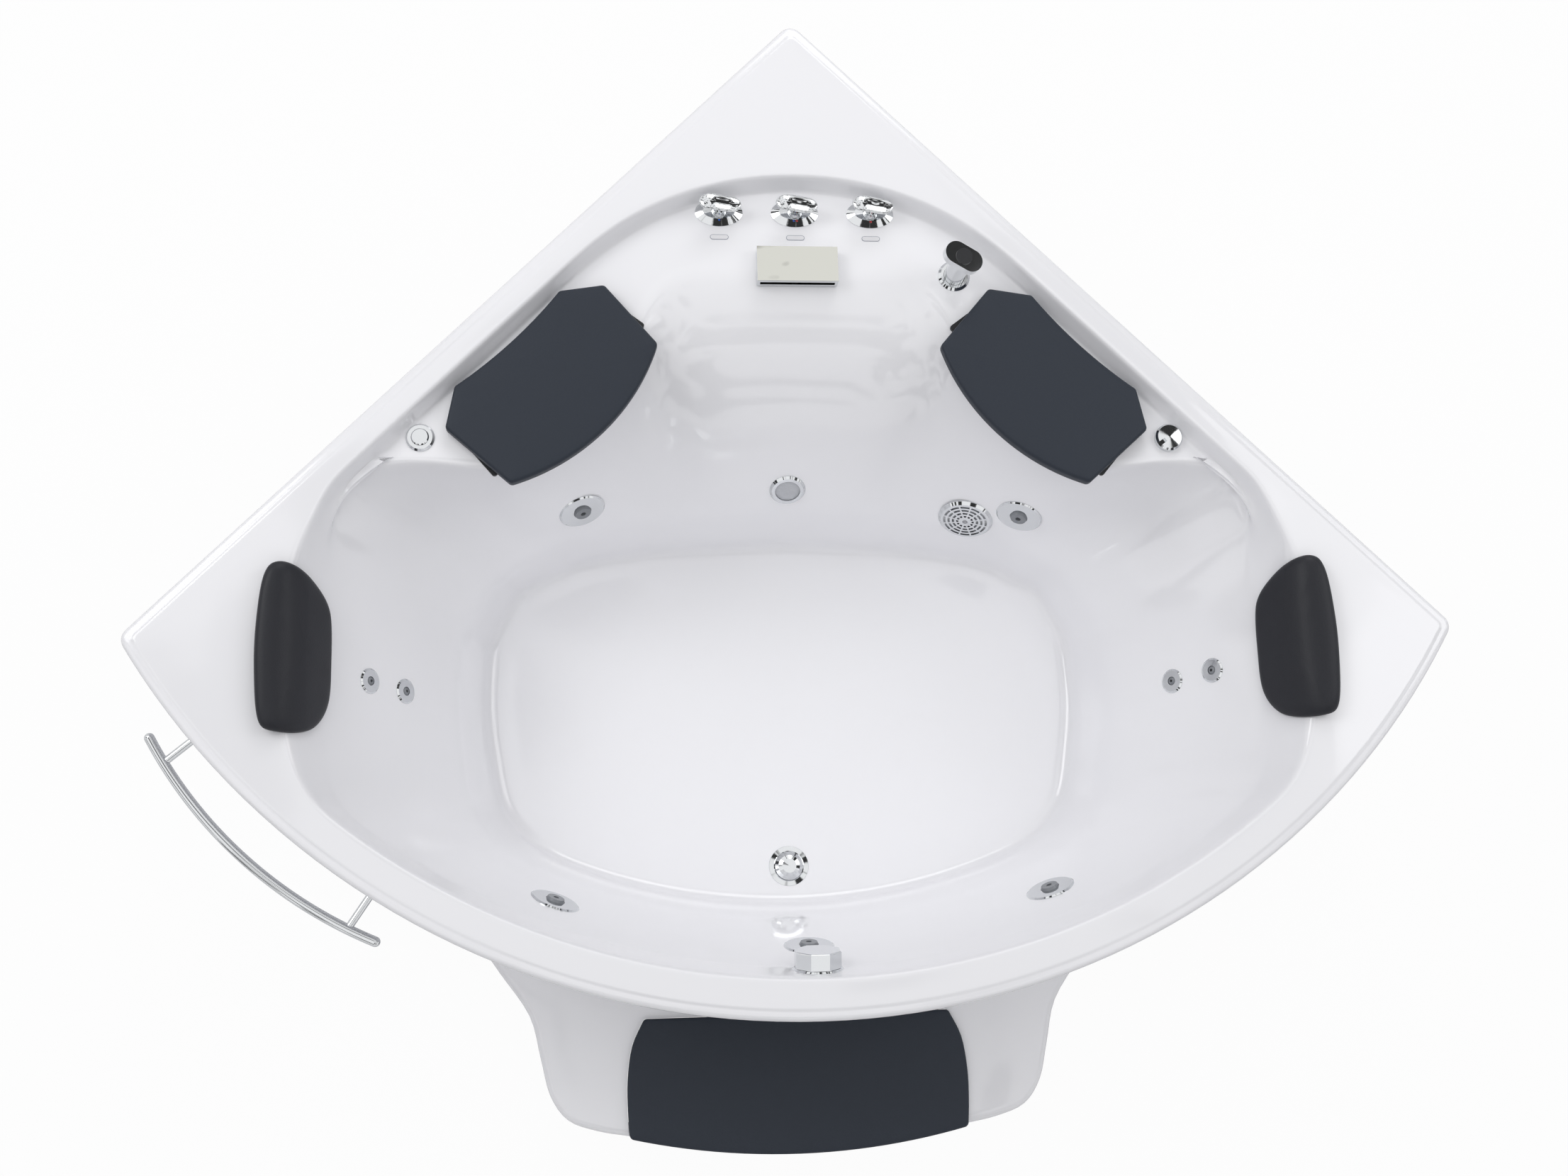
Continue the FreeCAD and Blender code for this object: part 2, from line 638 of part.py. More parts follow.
mini_nozzle = turned("mini_nozzle", [("2.5", "0"), (str(mini_bore - 0.2), "0"), (str(mini_bore - 0.2), "11"),
                                     ("4.5", "14"), ("2.5", "14")])
copies("small_jet_nozzles", mini_nozzle,
       [place.multiply(Placement(Vector(0, 0, -9), Rotation())) for place in mini_seats])


# ---------------------------------------------------------------- suction and lamp
def suction_grille():
    """A low dome with four rings of slots between spokes."""
    radius = size.suction_face / 2
    profile = Part.makePolygon([Vector(0, 0, 0), Vector(radius, 0, 0), Vector(radius, 0, 2.5),
                                Vector(radius - 5, 0, 7), Vector(0, 0, 9), Vector(0, 0, 0)])
    dome = Part.Face(profile).revolve(Vector(), UP, 360)
    slots = []
    for step in range(4):
        inner = radius * (0.24 + 0.16 * step)
        ring = Part.makeCylinder(inner + 4, 20).cut(Part.makeCylinder(inner, 20))
        slots.append(ring)
    spokes = []
    for step in range(12):
        spoke = Part.makeBox(radius, 3, 20, Vector(0, -1.5, 0))
        spoke.rotate(Vector(), UP, 30 * step)
        spokes.append(spoke)
    gaps = Part.makeCompound(slots).cut(Part.makeCompound(spokes))
    screw_seat = Part.makeCylinder(4.7, 3, Vector(0, 0, 6.5)).fuse(Part.makeCylinder(2, 20))
    return dome.cut(gaps).cut(screw_seat)


shaped("suction_grille", suction_grille(), suction_seat)
screw = turned("grille_screw", [("0", "0"), ("1.8", "0"), ("1.8", "6.5"), ("4.4", "6.5"), ("4.4", "8.6"),
                                ("3.4", "9.4"), ("0", "9.4")])
copies("suction_screw", screw, [suction_seat])
cup = turned("suction_cup", [("0", "0"), ("dims.suction_body / 2", "0"),
                             ("dims.suction_body / 2", "dims.suction_length"),
                             ("dims.suction_body / 2 - 4", "dims.suction_length"),
                             ("dims.suction_body / 2 - 4", "5"), ("0", "5")])
screw_post = cylinder("screw_post", "9", "dims.suction_length + 0", Vector())
post_bored = cut("screw_post_bored", screw_post, cylinder("screw_hole", "3.6", "dims.suction_length * 2"))
cup_outlet = cylinder("suction_outlet", "dims.suction_pipe", "24", Vector(0, 0, -23.9))
behind_suction = Placement(Vector(0, 0, -size.suction_length), Rotation())
copies("suction_housing", fused("suction_cup_whole", cup, post_bored, cup_outlet),
       [suction_seat.multiply(behind_suction)])

lamp_ring = turned("lamp_bezel", [("dims.lamp_lens / 2 + 0.2", "0"), ("dims.lamp_face / 2", "0"),
                                  ("dims.lamp_face / 2", "2"), ("dims.lamp_face / 2 - 4", "6"),
                                  ("dims.lamp_lens / 2 + 0.2", "6")])
copies("lamp_ring", lamp_ring, [lamp_seat])
lens = turned("lamp_dome", [("0", "0"), ("dims.lamp_lens / 2", "0"), ("dims.lamp_lens / 2", "3.5"),
                            ("dims.lamp_lens / 3", "6"), ("0", "7")])
copies("lamp_lens", lens, [lamp_seat])
lamp_cup = turned("lamp_cup", [("0", "0"), ("dims.lamp_lens / 2 + 4", "0"),
                               ("dims.lamp_lens / 2 + 4", "dims.lamp_length"), ("12", "dims.lamp_length"),
                               ("12", "8"), ("0", "8")])
copies("lamp_housing", lamp_cup, [lamp_seat.multiply(Placement(Vector(0, 0, -size.lamp_length), Rotation()))])

# ---------------------------------------------------------------- waste and overflow
tail_length = 44.0
flange = turned("waste_ring", [("dims.waste_bore / 2", "0"), ("dims.waste_bore / 2 + 3", "0"),
                               ("dims.waste_bore / 2 + 3", str(tail_length)),
                               ("dims.waste_face / 2", str(tail_length)),
                               ("dims.waste_face / 2 - 1", str(tail_length + 2)),
                               ("dims.waste_plug / 2 + 2", str(tail_length + 3)),
                               ("dims.waste_bore / 2", str(tail_length + 1))])
guide = fused("plug_guide",
              block("guide_bar_x", "dims.waste_bore + 2", "3", "6",
                    Vector(-size.waste_bore / 2 - 1, -1.5, 8)),
              block("guide_bar_y", "3", "dims.waste_bore + 2", "6",
                    Vector(-1.5, -size.waste_bore / 2 - 1, 8)),
              cylinder("guide_hub", "14", "12", Vector(0, 0, 6)))
guide_bored = cut("plug_guide_bored", guide,
                  cylinder("guide_hole", "8 + 2 * dims.running_gap", "40", Vector(0, 0, -5)))
copies("waste_flange", fused("waste_flange_whole", flange, guide_bored),
       [Placement(waste_place - UP * tail_length, Rotation())])
stem_length = 50.0
plug = turned("plug_profile", [("0", "0"), ("4", "0"), ("4", str(stem_length - 3)),
                               ("dims.waste_bore / 2 - 3", str(stem_length)),
                               ("dims.waste_plug / 2", str(stem_length + 3.3)),
                               ("dims.waste_plug / 2", str(stem_length + 6)),
                               ("dims.waste_plug / 2 - 6", str(stem_length + 10)),
                               ("dims.waste_plug / 4", str(stem_length + 12.5)),
                               ("0", str(stem_length + 13.5))])
copies("waste_plug", plug, [Placement(waste_place - UP * (stem_length + 0.5), Rotation())])

trap_top = floor_top - size.shell_wall
trap = turned("trap_cup", [("0", "0"), ("dims.trap_width / 2", "0"),
                           ("dims.trap_width / 2", "dims.trap_height"),
                           ("dims.waste_bore / 2 + 3 + dims.fit_gap", "dims.trap_height"),
                           ("dims.waste_bore / 2 + 3 + dims.fit_gap", "6"), ("0", "6")])
inlet_height = 34.0
outlet = cylinder("trap_outlet", "dims.outlet_pipe", "dims.outlet_reach", Vector(0, 0, -size.outlet_reach))
overflow_inlet = cylinder("trap_inlet", "24", "dims.trap_width / 2 + 26", Vector(0, 0, inlet_height),
                          Rotation(Vector(1, 0, 0), 90))
hollow = fused("trap_hollow",
               cylinder("trap_room", "dims.waste_bore + 6 + 2 * dims.fit_gap", "dims.trap_height",
                        Vector(0, 0, 6)),
               cylinder("outlet_bore", "dims.outlet_pipe - 6", "dims.outlet_reach + 8",
                        Vector(0, 0, -size.outlet_reach - 1)))
trap_whole = cut("trap_hollowed", fused("trap_outside", trap, outlet, overflow_inlet), hollow)
trap_base = at(0, size.waste_y, trap_top - size.trap_height)
copies("waste_body", trap_whole, [Placement(trap_base, Rotation())])

overflow_disc = turned("overflow_disc", [("0", "0"), ("dims.overflow_face / 2", "0"),
                                         ("dims.overflow_face / 2", "1.5"),
                                         ("dims.overflow_face / 2 - 3", "4"), ("0", "4")])
copies("overflow_plate", overflow_disc, [overflow_seat])
octagon = [Vector(math.cos(math.radians(45 * i + 22.5)), math.sin(math.radians(45 * i + 22.5)), 0)
           * (size.overflow_knob / 2 / math.cos(math.radians(22.5))) for i in range(9)]
knob = Part.Face(Part.makePolygon(octagon)).extrude(UP * size.overflow_depth)
knob = softened(knob, 2.5, level_edge(size.overflow_depth))
plate_rise = 4 + size.fit_gap
shaped("overflow_knob", knob, overflow_seat.multiply(Placement(UP * plate_rise, Rotation())))
elbow_reach = 34.0
elbow = fused("overflow_elbow_whole",
              cylinder("elbow_barrel", "32", str(elbow_reach), Vector(0, 0, -elbow_reach)),
              cylinder("elbow_nut", "52", "8", Vector(0, 0, -14)),
              cylinder("elbow_tail", "22", "44", Vector(0, 0, -elbow_reach + 14), Rotation(Vector(1, 0, 0), 90)))
doc.recompute()
elbow_shape = elbow.Shape.copy()
elbow_shape.Placement = overflow_seat.multiply(elbow_shape.Placement)
elbow_end = overflow_seat.multVec(Vector(0, -44, 14 - elbow_reach))
elbow_down = overflow_seat.Rotation.multVec(Vector(0, -1, 0))
inlet_end = trap_base + Vector(0, -size.trap_width / 2 - 26, inlet_height)
pipe_points = [elbow_end, elbow_end + elbow_down * 28, at(52, -545, rim_top - 170), at(58, -545, rim_top - 320),
               at(34, -540, rim_top - 435), inlet_end + Vector(0, -70, 0), inlet_end]
shaped("overflow_pipe", Part.makeCompound([elbow_shape, hose(pipe_points, 24)]))

# ---------------------------------------------------------------- tap knobs and their bodies
top_width, top_depth = size.tap_plate_width - 26, size.tap_plate_depth - 22
plate = Part.makeLoft([oval(size.tap_plate_width, size.tap_plate_depth, 0),
                       oval(size.tap_plate_width, size.tap_plate_depth, 2),
                       oval(top_width, top_depth, size.tap_plate_height)], True, True)
plate = plate.cut(Part.makeCylinder(size.spindle / 2 + size.running_gap, 40, Vector(0, 0, -10)))
plates = []
for place in tap_places.values():
    moved = plate.copy()
    moved.translate(place)
    plates.append(moved)
shaped("tap_plates", Part.makeCompound(plates))

hub_low = size.tap_plate_height + size.fit_gap
handle_low = hub_low + size.tap_hub
handle_top = handle_low + size.tap_handle_height
half_handle = size.tap_handle_width / 2
wave = [(-0.62, 0.0), (0.62, 0.0), (0.86, 0.55), (1.0, 0.72), (0.92, 0.92), (0.45, 0.70), (0.0, 0.82),
        (-0.5, 1.0), (-1.0, 0.96), (-0.93, 0.66)]
wave_points = [Vector(share * half_handle, -size.tap_handle_depth / 2,
                      handle_low + rise * size.tap_handle_height) for share, rise in wave]
handle = Part.Face(Part.makePolygon(wave_points + wave_points[:1])).extrude(Vector(0, size.tap_handle_depth, 0))
handle = softened(handle, 1.5, lambda edge: edge.BoundBox.YLength < 0.01 and edge.BoundBox.ZMin > handle_low + 1)
spindle_top = handle_low + size.tap_handle_height * 0.5
spindle_low = -size.shell_wall - 38
handle = handle.fuse(Part.makeCylinder(size.tap_handle_depth / 2 - 2, size.tap_hub + 4, Vector(0, 0, hub_low)))
handle = handle.fuse(Part.makeCylinder(size.spindle / 2, spindle_top - spindle_low, Vector(0, 0, spindle_low)))
valve = turned("valve_profile", [("0", "0"), ("10.5", "0"), ("10.5", "22"), ("dims.valve_body / 2", "22"),
                                 ("dims.valve_body / 2", "dims.valve_length"),
                                 ("dims.spindle / 2 + 7", "dims.valve_length"),
                                 ("dims.spindle / 2 + 7",
                                  "dims.valve_length + dims.shell_wall - dims.seat_sink"),
                                 ("dims.spindle / 2 + dims.running_gap",
                                  "dims.valve_length + dims.shell_wall - dims.seat_sink"),
                                 ("dims.spindle / 2 + dims.running_gap", "dims.valve_length - 39"),
                                 ("0", "dims.valve_length - 39")])
valve_outlet = cylinder("valve_outlet", "20", "36", Vector(0, 0, 34), Rotation(Vector(1, 0, 0), -90))
valve_outlet_cut = cut("valve_outlet_cut", valve_outlet,
                       cylinder("valve_room", "dims.spindle + 2", "dims.valve_length * 2"))
valve_whole = fused("valve_whole", valve, valve_outlet_cut)
for name, place in tap_places.items():
    shaped("knob_" + name, handle.copy(), Placement(place, Rotation()))
copies("tap_valves", valve_whole, [Placement(place - UP * (under_wall + size.valve_length), Rotation())
                                   for place in tap_places.values()])

label_line = size.tap_line - 44
capsule = Part.makeBox(22, 9, 0.8, Vector(-11, -4.5, 0))
for end in (-11, 11):
    capsule = capsule.fuse(Part.makeCylinder(4.5, 0.8, Vector(end, 0, 0)))
capsule = capsule.removeSplitter()
labels = []
for place in tap_places.values():
    label = capsule.copy()
    label.translate(Vector(place.x, label_line - middle_y, deck_top))
    labels.append(label)
shaped("tap_labels", Part.makeCompound(labels))

# ---------------------------------------------------------------- waterfall spout
spout_corner = at(-size.spout_width / 2, size.spout_front, seat_top)
cover_thick = 2.0
spout_shell = block("spout_shell", "dims.spout_width", "dims.spout_depth",
                    "dims.spout_height - %s" % cover_thick, spout_corner)
slot_base = (size.spout_height - cover_thick - size.spout_slot) / 2
spout_room = block("spout_room", "dims.spout_width - 2 * dims.spout_wall", "dims.spout_depth - dims.spout_wall",
                   "dims.spout_slot", spout_corner + Vector(size.spout_wall, 0, slot_base))
tail = fused("spout_tail_whole",
             cylinder("tail_pipe", str(spout_tail), "52", Vector(spout_place.x, spout_place.y, seat_top - 52)),
             cylinder("tail_nut", "34", "8", Vector(spout_place.x, spout_place.y, seat_top - under_wall - 8)))
copies("spout_body", fused("spout_whole", cut("spout_hollowed", spout_shell, spout_room), tail), [Placement()])
cover = block("spout_cover_plate", "dims.spout_width", "dims.spout_depth", str(cover_thick),
              spout_corner + UP * (size.spout_height - cover_thick))
copies("spout_cover", cover, [Placement()])

# ---------------------------------------------------------------- hand shower
holder = turned("holder_profile", [("dims.shower_column / 2 + dims.fit_gap", "0"),
                                   ("dims.shower_column / 2 + 4", "0"),
                                   ("dims.shower_column / 2 + 4", "dims.shower_depth"),
                                   ("dims.shower_ring / 2", "dims.shower_depth"),
                                   ("dims.shower_ring / 2", "dims.shower_depth + 2"),
                                   ("dims.shower_ring / 2 - 4", "dims.shower_depth + 6"),
                                   ("dims.shower_column / 2 + dims.fit_gap", "dims.shower_depth + 6")])
copies("shower_holder", holder, [Placement(shower_place - UP * size.shower_depth, Rotation())])
head_turn = Rotation(Vector(0, 0, 1), -28).multiply(Rotation(Vector(0, 1, 0), 8))
head_place = Placement(Vector(0, 0, size.shower_rise), head_turn)
column = Part.makeCylinder(size.shower_column / 2, size.shower_rise + size.shower_depth,
                           Vector(0, 0, -size.shower_depth))
head_straight = size.shower_head_length - size.shower_head_width
head = Part.makeBox(head_straight, size.shower_head_width, size.shower_head_thick,
                    Vector(-head_straight / 2, -size.shower_head_width / 2, -size.shower_head_thick / 2))
for end in (-head_straight / 2, head_straight / 2):
    head = head.fuse(Part.makeCylinder(size.shower_head_width / 2, size.shower_head_thick,
                                       Vector(end, 0, -size.shower_head_thick / 2)))
head = head.removeSplitter()
face_plate = Part.makeCylinder(size.shower_head_width / 2 - 5, 1.5, Vector(0, 0, size.shower_head_thick / 2))
head.Placement = head_place
face_plate.Placement = head_place
shaped("hand_shower", column.fuse(head).removeSplitter(), Placement(shower_place, Rotation()))
shaped("shower_face", face_plate, Placement(shower_place, Rotation()))

# ---------------------------------------------------------------- push-button and air knob
button_ring = turned("button_bezel", [("dims.button_face / 2 + dims.fit_gap", "0"), ("dims.air_ring / 2", "0"),
                                      ("dims.air_ring / 2", "2"), ("dims.air_ring / 2 - 3", "6"),
                                      ("dims.button_face / 2 + dims.fit_gap", "6")])
copies("button_ring", button_ring, [Placement(button_place, Rotation())])
push_button = turned("button_cap", [("0", "0"), ("dims.button_face / 2", "0"), ("dims.button_face / 2", "11"),
                                    ("dims.button_face / 2 - 1.5", "12.5"), ("0", "12.5")])
button_low = -4.0
copies("push_button", push_button, [Placement(button_place + UP * button_low, Rotation())])
air_cup = turned("air_cup", [("0", "0"), ("dims.air_body / 2", "0"), ("dims.air_body / 2", "dims.air_body_length"),
                             ("dims.button_face / 2 + dims.fit_gap", "dims.air_body_length"),
                             ("dims.button_face / 2 + dims.fit_gap", "10"), ("0", "10")])
air_spout = cylinder("air_spigot", "10", "18", Vector(0, 0, -18))
under_deck = UP * -size.air_body_length
button_cup = fused("button_cup", air_cup, air_spout)
spring_low = -size.air_body_length + 10
coil = Part.makeHelix((button_low - spring_low - 1.4) / 5, button_low - spring_low - 1.4, 9)
wire_end = Part.Wire([Part.Circle(Vector(9, 0, 0), Vector(0, 1, 0), 0.7).toShape()])
spring = Part.Wire(coil.Edges).makePipeShell([wire_end], True, True)
shaped("button_spring", spring, Placement(button_place + UP * (spring_low + 0.7), Rotation()))

air_knob = turned("air_knob_profile", [("0", "0"), ("dims.air_ring / 2", "0"), ("dims.air_ring / 2", "9"),
                                       ("dims.air_ring / 2 - 3", "13"), ("0", "14")])
notch = block("air_notch", "14", "7", "6", Vector(9, -3.5, 9))
air_stem_low = -30.0
air_stem = cylinder("air_stem", "dims.spindle", "7 - %s" % air_stem_low, Vector(0, 0, air_stem_low))
air_whole = fused("air_knob_whole", cut("air_knob_notched", air_knob, notch), air_stem)
pointer_turn = Rotation(Vector(0, 0, 1), 215)
copies("air_knob", air_whole, [Placement(air_place + UP * size.fit_gap, pointer_turn)])
valve_cup = turned("air_valve_cup", [("0", "0"), ("dims.air_body / 2", "0"),
                                     ("dims.air_body / 2", "dims.air_body_length"),
                                     ("dims.spindle / 2 + dims.running_gap", "dims.air_body_length"),
                                     ("dims.spindle / 2 + dims.running_gap", "16"), ("0", "16")])
valve_spigot = cylinder("air_valve_spigot", "10", "18", Vector(0, 0, -18))
doc.recompute()
bodies_below = []
for source, place in ((button_cup, button_place), (fused("air_valve_whole", valve_cup, valve_spigot), air_place)):
    doc.recompute()
    body_below = source.Shape.copy()
    body_below.Placement = Placement(place + under_deck, Rotation()).multiply(body_below.Placement)
    bodies_below.append(body_below)
shaped("air_bodies", Part.makeCompound(bodies_below))

# ---------------------------------------------------------------- soft pads
def arc(first, through, last, height):
    return Part.Arc(at(first[0], first[1], height), at(through[0], through[1], height),
                    at(last[0], last[1], height)).toShape()


def line(first, last, height):
    return Part.LineSegment(at(first[0], first[1], height), at(last[0], last[1], height)).toShape()


def curve(points, height):
    smooth = Part.BSplineCurve()
    smooth.interpolate([at(x, y, height) for x, y in points])
    return smooth.toShape()


def upright_edge(edge):
    return edge.BoundBox.ZLength > 1 and edge.BoundBox.XLength + edge.BoundBox.YLength < 0.01


def mirror_x(shape):
    return shape.mirror(Vector(0, 0, 0), Vector(1, 0, 0))


PAD = [(393, 570), (320, 581), (234, 480), (470, 243), (574, 335), (560, 405)]
PAD_FRONT, PAD_BACK = (322, 333), (477, 475)
base_top = deck_top + size.pad_base
pad_wire = Part.Wire([line(PAD[0], PAD[1], base_top), line(PAD[1], PAD[2], base_top),
                      arc(PAD[2], PAD_FRONT, PAD[3], base_top), line(PAD[3], PAD[4], base_top),
                      line(PAD[4], PAD[5], base_top), arc(PAD[5], PAD_BACK, PAD[0], base_top)])
pad_top = base_top + size.pad_thick
crown_radius = 2600.0
crown = Part.makeSphere(crown_radius, at(400, 410, pad_top - crown_radius))
pad = softened(Part.Face(pad_wire).extrude(UP * size.pad_thick), 12, upright_edge).common(crown)
pad = softened(pad, 6, lambda edge: edge.BoundBox.ZMin > base_top + size.pad_thick / 2)
base_wire = Part.Wire([line((253, 519), (497, 259), deck_top), line((497, 259), (564, 338), deck_top),
                       line((564, 338), (551, 401), deck_top), arc((551, 401), (470, 467), (389, 561), deck_top),
                       line((389, 561), (325, 573), deck_top), line((325, 573), (253, 519), deck_top)])
pad_foot = softened(Part.Face(base_wire).extrude(UP * size.pad_base), 5, upright_edge)
shaped("rear_pad_right", pad)
shaped("rear_pad_left", mirror_x(pad))
shaped("pad_bases", Part.makeCompound([pad_foot, mirror_x(pad_foot)]))

PILLOW_PLAN = [(822, 113), (844, 82), (851, 12), (850, -60), (842, -134), (818, -151), (772, -148), (741, -132),
               (727, -90), (725, 0), (731, 46), (750, 78), (784, 105)]
PILLOW_SIDE = [(856, 0), (820, 0), (757, -88), (748, -85), (744, -72), (790, 12), (798, 22), (812, 30),
               (846, 30), (853, 26), (856, 19)]
ring_curve = Part.BSplineCurve()
ring_curve.interpolate([at(x, y, rim_top - 100) for x, y in PILLOW_PLAN], True)
column = Part.Face(Part.Wire([ring_curve.toShape()])).extrude(UP * 150)
side_points = [Vector(x, at(0, -200, 0).y, rim_top + z) for x, z in PILLOW_SIDE]
side_solid = Part.Face(Part.makePolygon(side_points + side_points[:1])).extrude(Vector(0, 400, 0))
pillow = max(side_solid.common(column).cut(bath).Solids, key=lambda solid: solid.Volume)
shaped("pillow_right", pillow)
shaped("pillow_left", mirror_x(pillow))

# ---------------------------------------------------------------- apron, step and grab rail
centre = at(0, arc_centre, 0)


def round_wall(radius, low, high):
    """A full cylinder about the centre of the front edge's arc."""
    return Part.makeCylinder(radius, high - low, centre + UP * low)


apron_radius = size.front_radius - size.apron_inset
apron_inside = apron_radius - size.apron_wall
apron_top = rim_top - size.shell_wall
sheet_ring = round_wall(apron_radius, size.apron_foot, apron_top).cut(
    round_wall(apron_inside, size.apron_foot - 1, apron_top + 1))
end_x = half_diagonal - 34
end_y = arc_centre - math.sqrt(apron_inside ** 2 - end_x ** 2)
front_zone = Part.makeBox(2 * end_x, 1500, size.total_height, at(-end_x, end_y - 1500, 0))
apron = sheet_ring.common(front_zone)


def towards_apron(x, y, height):
    """Placement on the apron's face in front of a plan place, its Z axis pointing outwards."""
    out = (at(x, y, 0) - centre).normalize()
    point = centre + out * apron_radius + UP * height
    return Placement(point, Rotation(UP.cross(out), UP, out, "ZXY"))


RAIL_ENDS, RAIL_MIDDLE = [(-1026, -143), (-676, -462)], (-869, -339)
rail_level = rim_top - size.rail_drop
rail_arc = Part.Arc(at(*RAIL_ENDS[0], rail_level), at(*RAIL_MIDDLE, rail_level),
                    at(*RAIL_ENDS[1], rail_level)).toShape()
start = rail_arc.valueAt(rail_arc.FirstParameter)
forward = rail_arc.tangentAt(rail_arc.FirstParameter)
ring = Part.Wire([Part.Circle(start, forward, size.rail_tube / 2).toShape()])
rail = Part.Wire([rail_arc]).makePipeShell([ring], True, False)
for place in (start, rail_arc.valueAt(rail_arc.LastParameter)):
    rail = rail.fuse(Part.makeSphere(size.rail_tube / 2, place))
posts, screws = [], []
screw_reach = 30.0
for x, y in ((-997, -177), (-712, -433)):
    place = towards_apron(x, y, rail_level)
    post = Part.makeCylinder(size.rail_post / 2, 80)
    post = post.fuse(Part.makeCylinder(size.rail_post, 5, Vector(0, 0, -1)))
    post.Placement = place
    hole = Part.makeCylinder(3, screw_reach + 20, Vector(0, 0, -20))
    hole.Placement = place
    post = post.cut(rail).cut(round_wall(apron_radius, 0, rim_top)).cut(hole)
    posts.append(min(post.Solids, key=lambda solid: (solid.CenterOfMass - place.Base).Length))
    screw = Part.makeCylinder(3, screw_reach + size.apron_wall, Vector(0, 0, -size.apron_wall))
    head = Part.makeCylinder(5.5, 4, Vector(0, 0, -size.apron_wall - 4))
    screw = screw.fuse(head).removeSplitter()
    screw.Placement = place
    screws.append(screw)
    apron = apron.cut(hole)
shaped("grab_rail", rail.multiFuse(posts))
shaped("rail_screws", Part.makeCompound(screws))
shaped("front_apron", apron)

STEP_SIDE = [(size.step_flare, -459), (size.step_waist + 70, -512), (size.step_waist + 20, -584),
             (size.step_waist + 1, -655), (size.step_waist - 15, -716), (size.step_waist - 45, -757),
             (size.step_waist - 94, -776), (size.step_waist - 146, -786)]


def moved_in(points, inset):
    """Plan points of the right side of the step, moved towards its inside."""
    result = []
    for i, (x, y) in enumerate(points):
        before, after = points[max(i - 1, 0)], points[min(i + 1, len(points) - 1)]
        along = Vector(after[0] - before[0], after[1] - before[1], 0).normalize()
        result.append((x + along.y * inset, y - along.x * inset))
    return result


def step_prism(inset, low, high, back):
    """A prism on the outline of the step; back is how far it runs in past the apron's face."""
    side = moved_in(STEP_SIDE, inset)
    other = [(-x, y) for x, y in reversed(side)]
    front = -size.step_front + inset
    behind = 200 if back else 0
    edges = [curve(side, low), arc(side[-1], (0, front), other[0], low), curve(other, low),
             line(other[-1], (other[-1][0], other[-1][1] + behind + 60), low),
             line((other[-1][0], other[-1][1] + behind + 60), (side[0][0], side[0][1] + behind + 60), low),
             line((side[0][0], side[0][1] + behind + 60), side[0], low)]
    return Part.Face(Part.Wire(edges)).extrude(UP * (high - low))


PAD_SIDE = [(262, -595), (283, -640), (291, -695), (291, -745), (size.step_pad_width / 2, -790)]


def pad_prism(grow, low, high):
    side = moved_in(PAD_SIDE, -grow)
    other = [(-x, y) for x, y in reversed(side)]
    edges = [line(other[-1], side[0], low), curve(side, low),
             arc(side[-1], (0, -size.step_pad_front - grow), other[0], low), curve(other, low)]
    return Part.Face(Part.Wire(edges)).extrude(UP * (high - low))


pad_floor = size.step_height - size.step_pad_sink
step = step_prism(0, 0, size.step_height, False).cut(round_wall(apron_radius + size.fit_gap, -1, 400))
step = step.cut(step_prism(size.step_wall, -1, pad_floor - size.step_wall, True))
pocket = pad_prism(size.fit_gap, pad_floor, size.step_height + 30)
step = step.cut(pocket)
shaped("step_body", step)
step_pad = pad_prism(0, pad_floor, pad_floor + size.step_pad_thick)
step_pad = softened(step_pad, 10, upright_edge)
step_pad = softened(step_pad, 5, level_edge(pad_floor + size.step_pad_thick))
shaped("step_pad", step_pad)

# ---------------------------------------------------------------- underframe
frame_low = floor_top - size.shell_wall - size.board_thick - size.tube
frame_high = frame_low + size.tube


def steel_tube(first, last, axis):
    """A square tube between two corners, open at the ends that axis points at."""
    low = Vector(min(first.x, last.x), min(first.y, last.y), min(first.z, last.z))
    span = Vector(abs(last.x - first.x), abs(last.y - first.y), abs(last.z - first.z))
    outside = Part.makeBox(span.x, span.y, span.z, low)
    wall = Vector(1, 1, 1) * size.tube_wall - axis * (size.tube_wall + 1)
    inside = Part.makeBox(span.x - 2 * wall.x, span.y - 2 * wall.y, span.z - 2 * wall.z, low + wall)
    return outside.cut(inside)


half_tube = size.tube / 2
inner_face = size.bearer_x - half_tube
LONG, ACROSS = Vector(0, 1, 0), Vector(1, 0, 0)
bearers = [steel_tube(at(side * size.bearer_x - half_tube, -528, frame_low),
                      at(side * size.bearer_x + half_tube, 430, frame_high), LONG) for side in (-1, 1)]
bearers += [steel_tube(at(-inner_face, y - half_tube, frame_low), at(inner_face, y + half_tube, frame_high), ACROSS)
            for y in (-188, 415)]
LEG_X, SIDE_LEG_Y, BACK_LEG_Y = 960, 10, 930
struts = [steel_tube(at(side * (size.bearer_x + half_tube), SIDE_LEG_Y - half_tube, frame_low),
                     at(side * (LEG_X - half_tube), SIDE_LEG_Y + half_tube, frame_high), ACROSS)
          for side in (-1, 1)]
struts.append(steel_tube(at(-half_tube, 430, frame_low), at(half_tube, BACK_LEG_Y - half_tube, frame_high), LONG))
leg_places = [(-LEG_X, SIDE_LEG_Y), (LEG_X, SIDE_LEG_Y), (0, BACK_LEG_Y)]
legs = [steel_tube(at(x - half_tube, y - half_tube, frame_low),
                   at(x + half_tube, y + half_tube, rim_top - size.shell_wall), UP) for x, y in leg_places]
sole = Part.makeBox(size.tube, size.tube, 2 * size.tube_wall)
for i, (x, y) in enumerate(leg_places):
    under_leg = sole.copy()
    under_leg.translate(at(x - half_tube, y - half_tube, frame_low))
    legs[i] = legs[i].fuse(under_leg).removeSplitter()
shaped("frame_legs", Part.makeCompound(legs))
board = block("board", "900", "440", "dims.board_thick", at(-450, -300, frame_high))
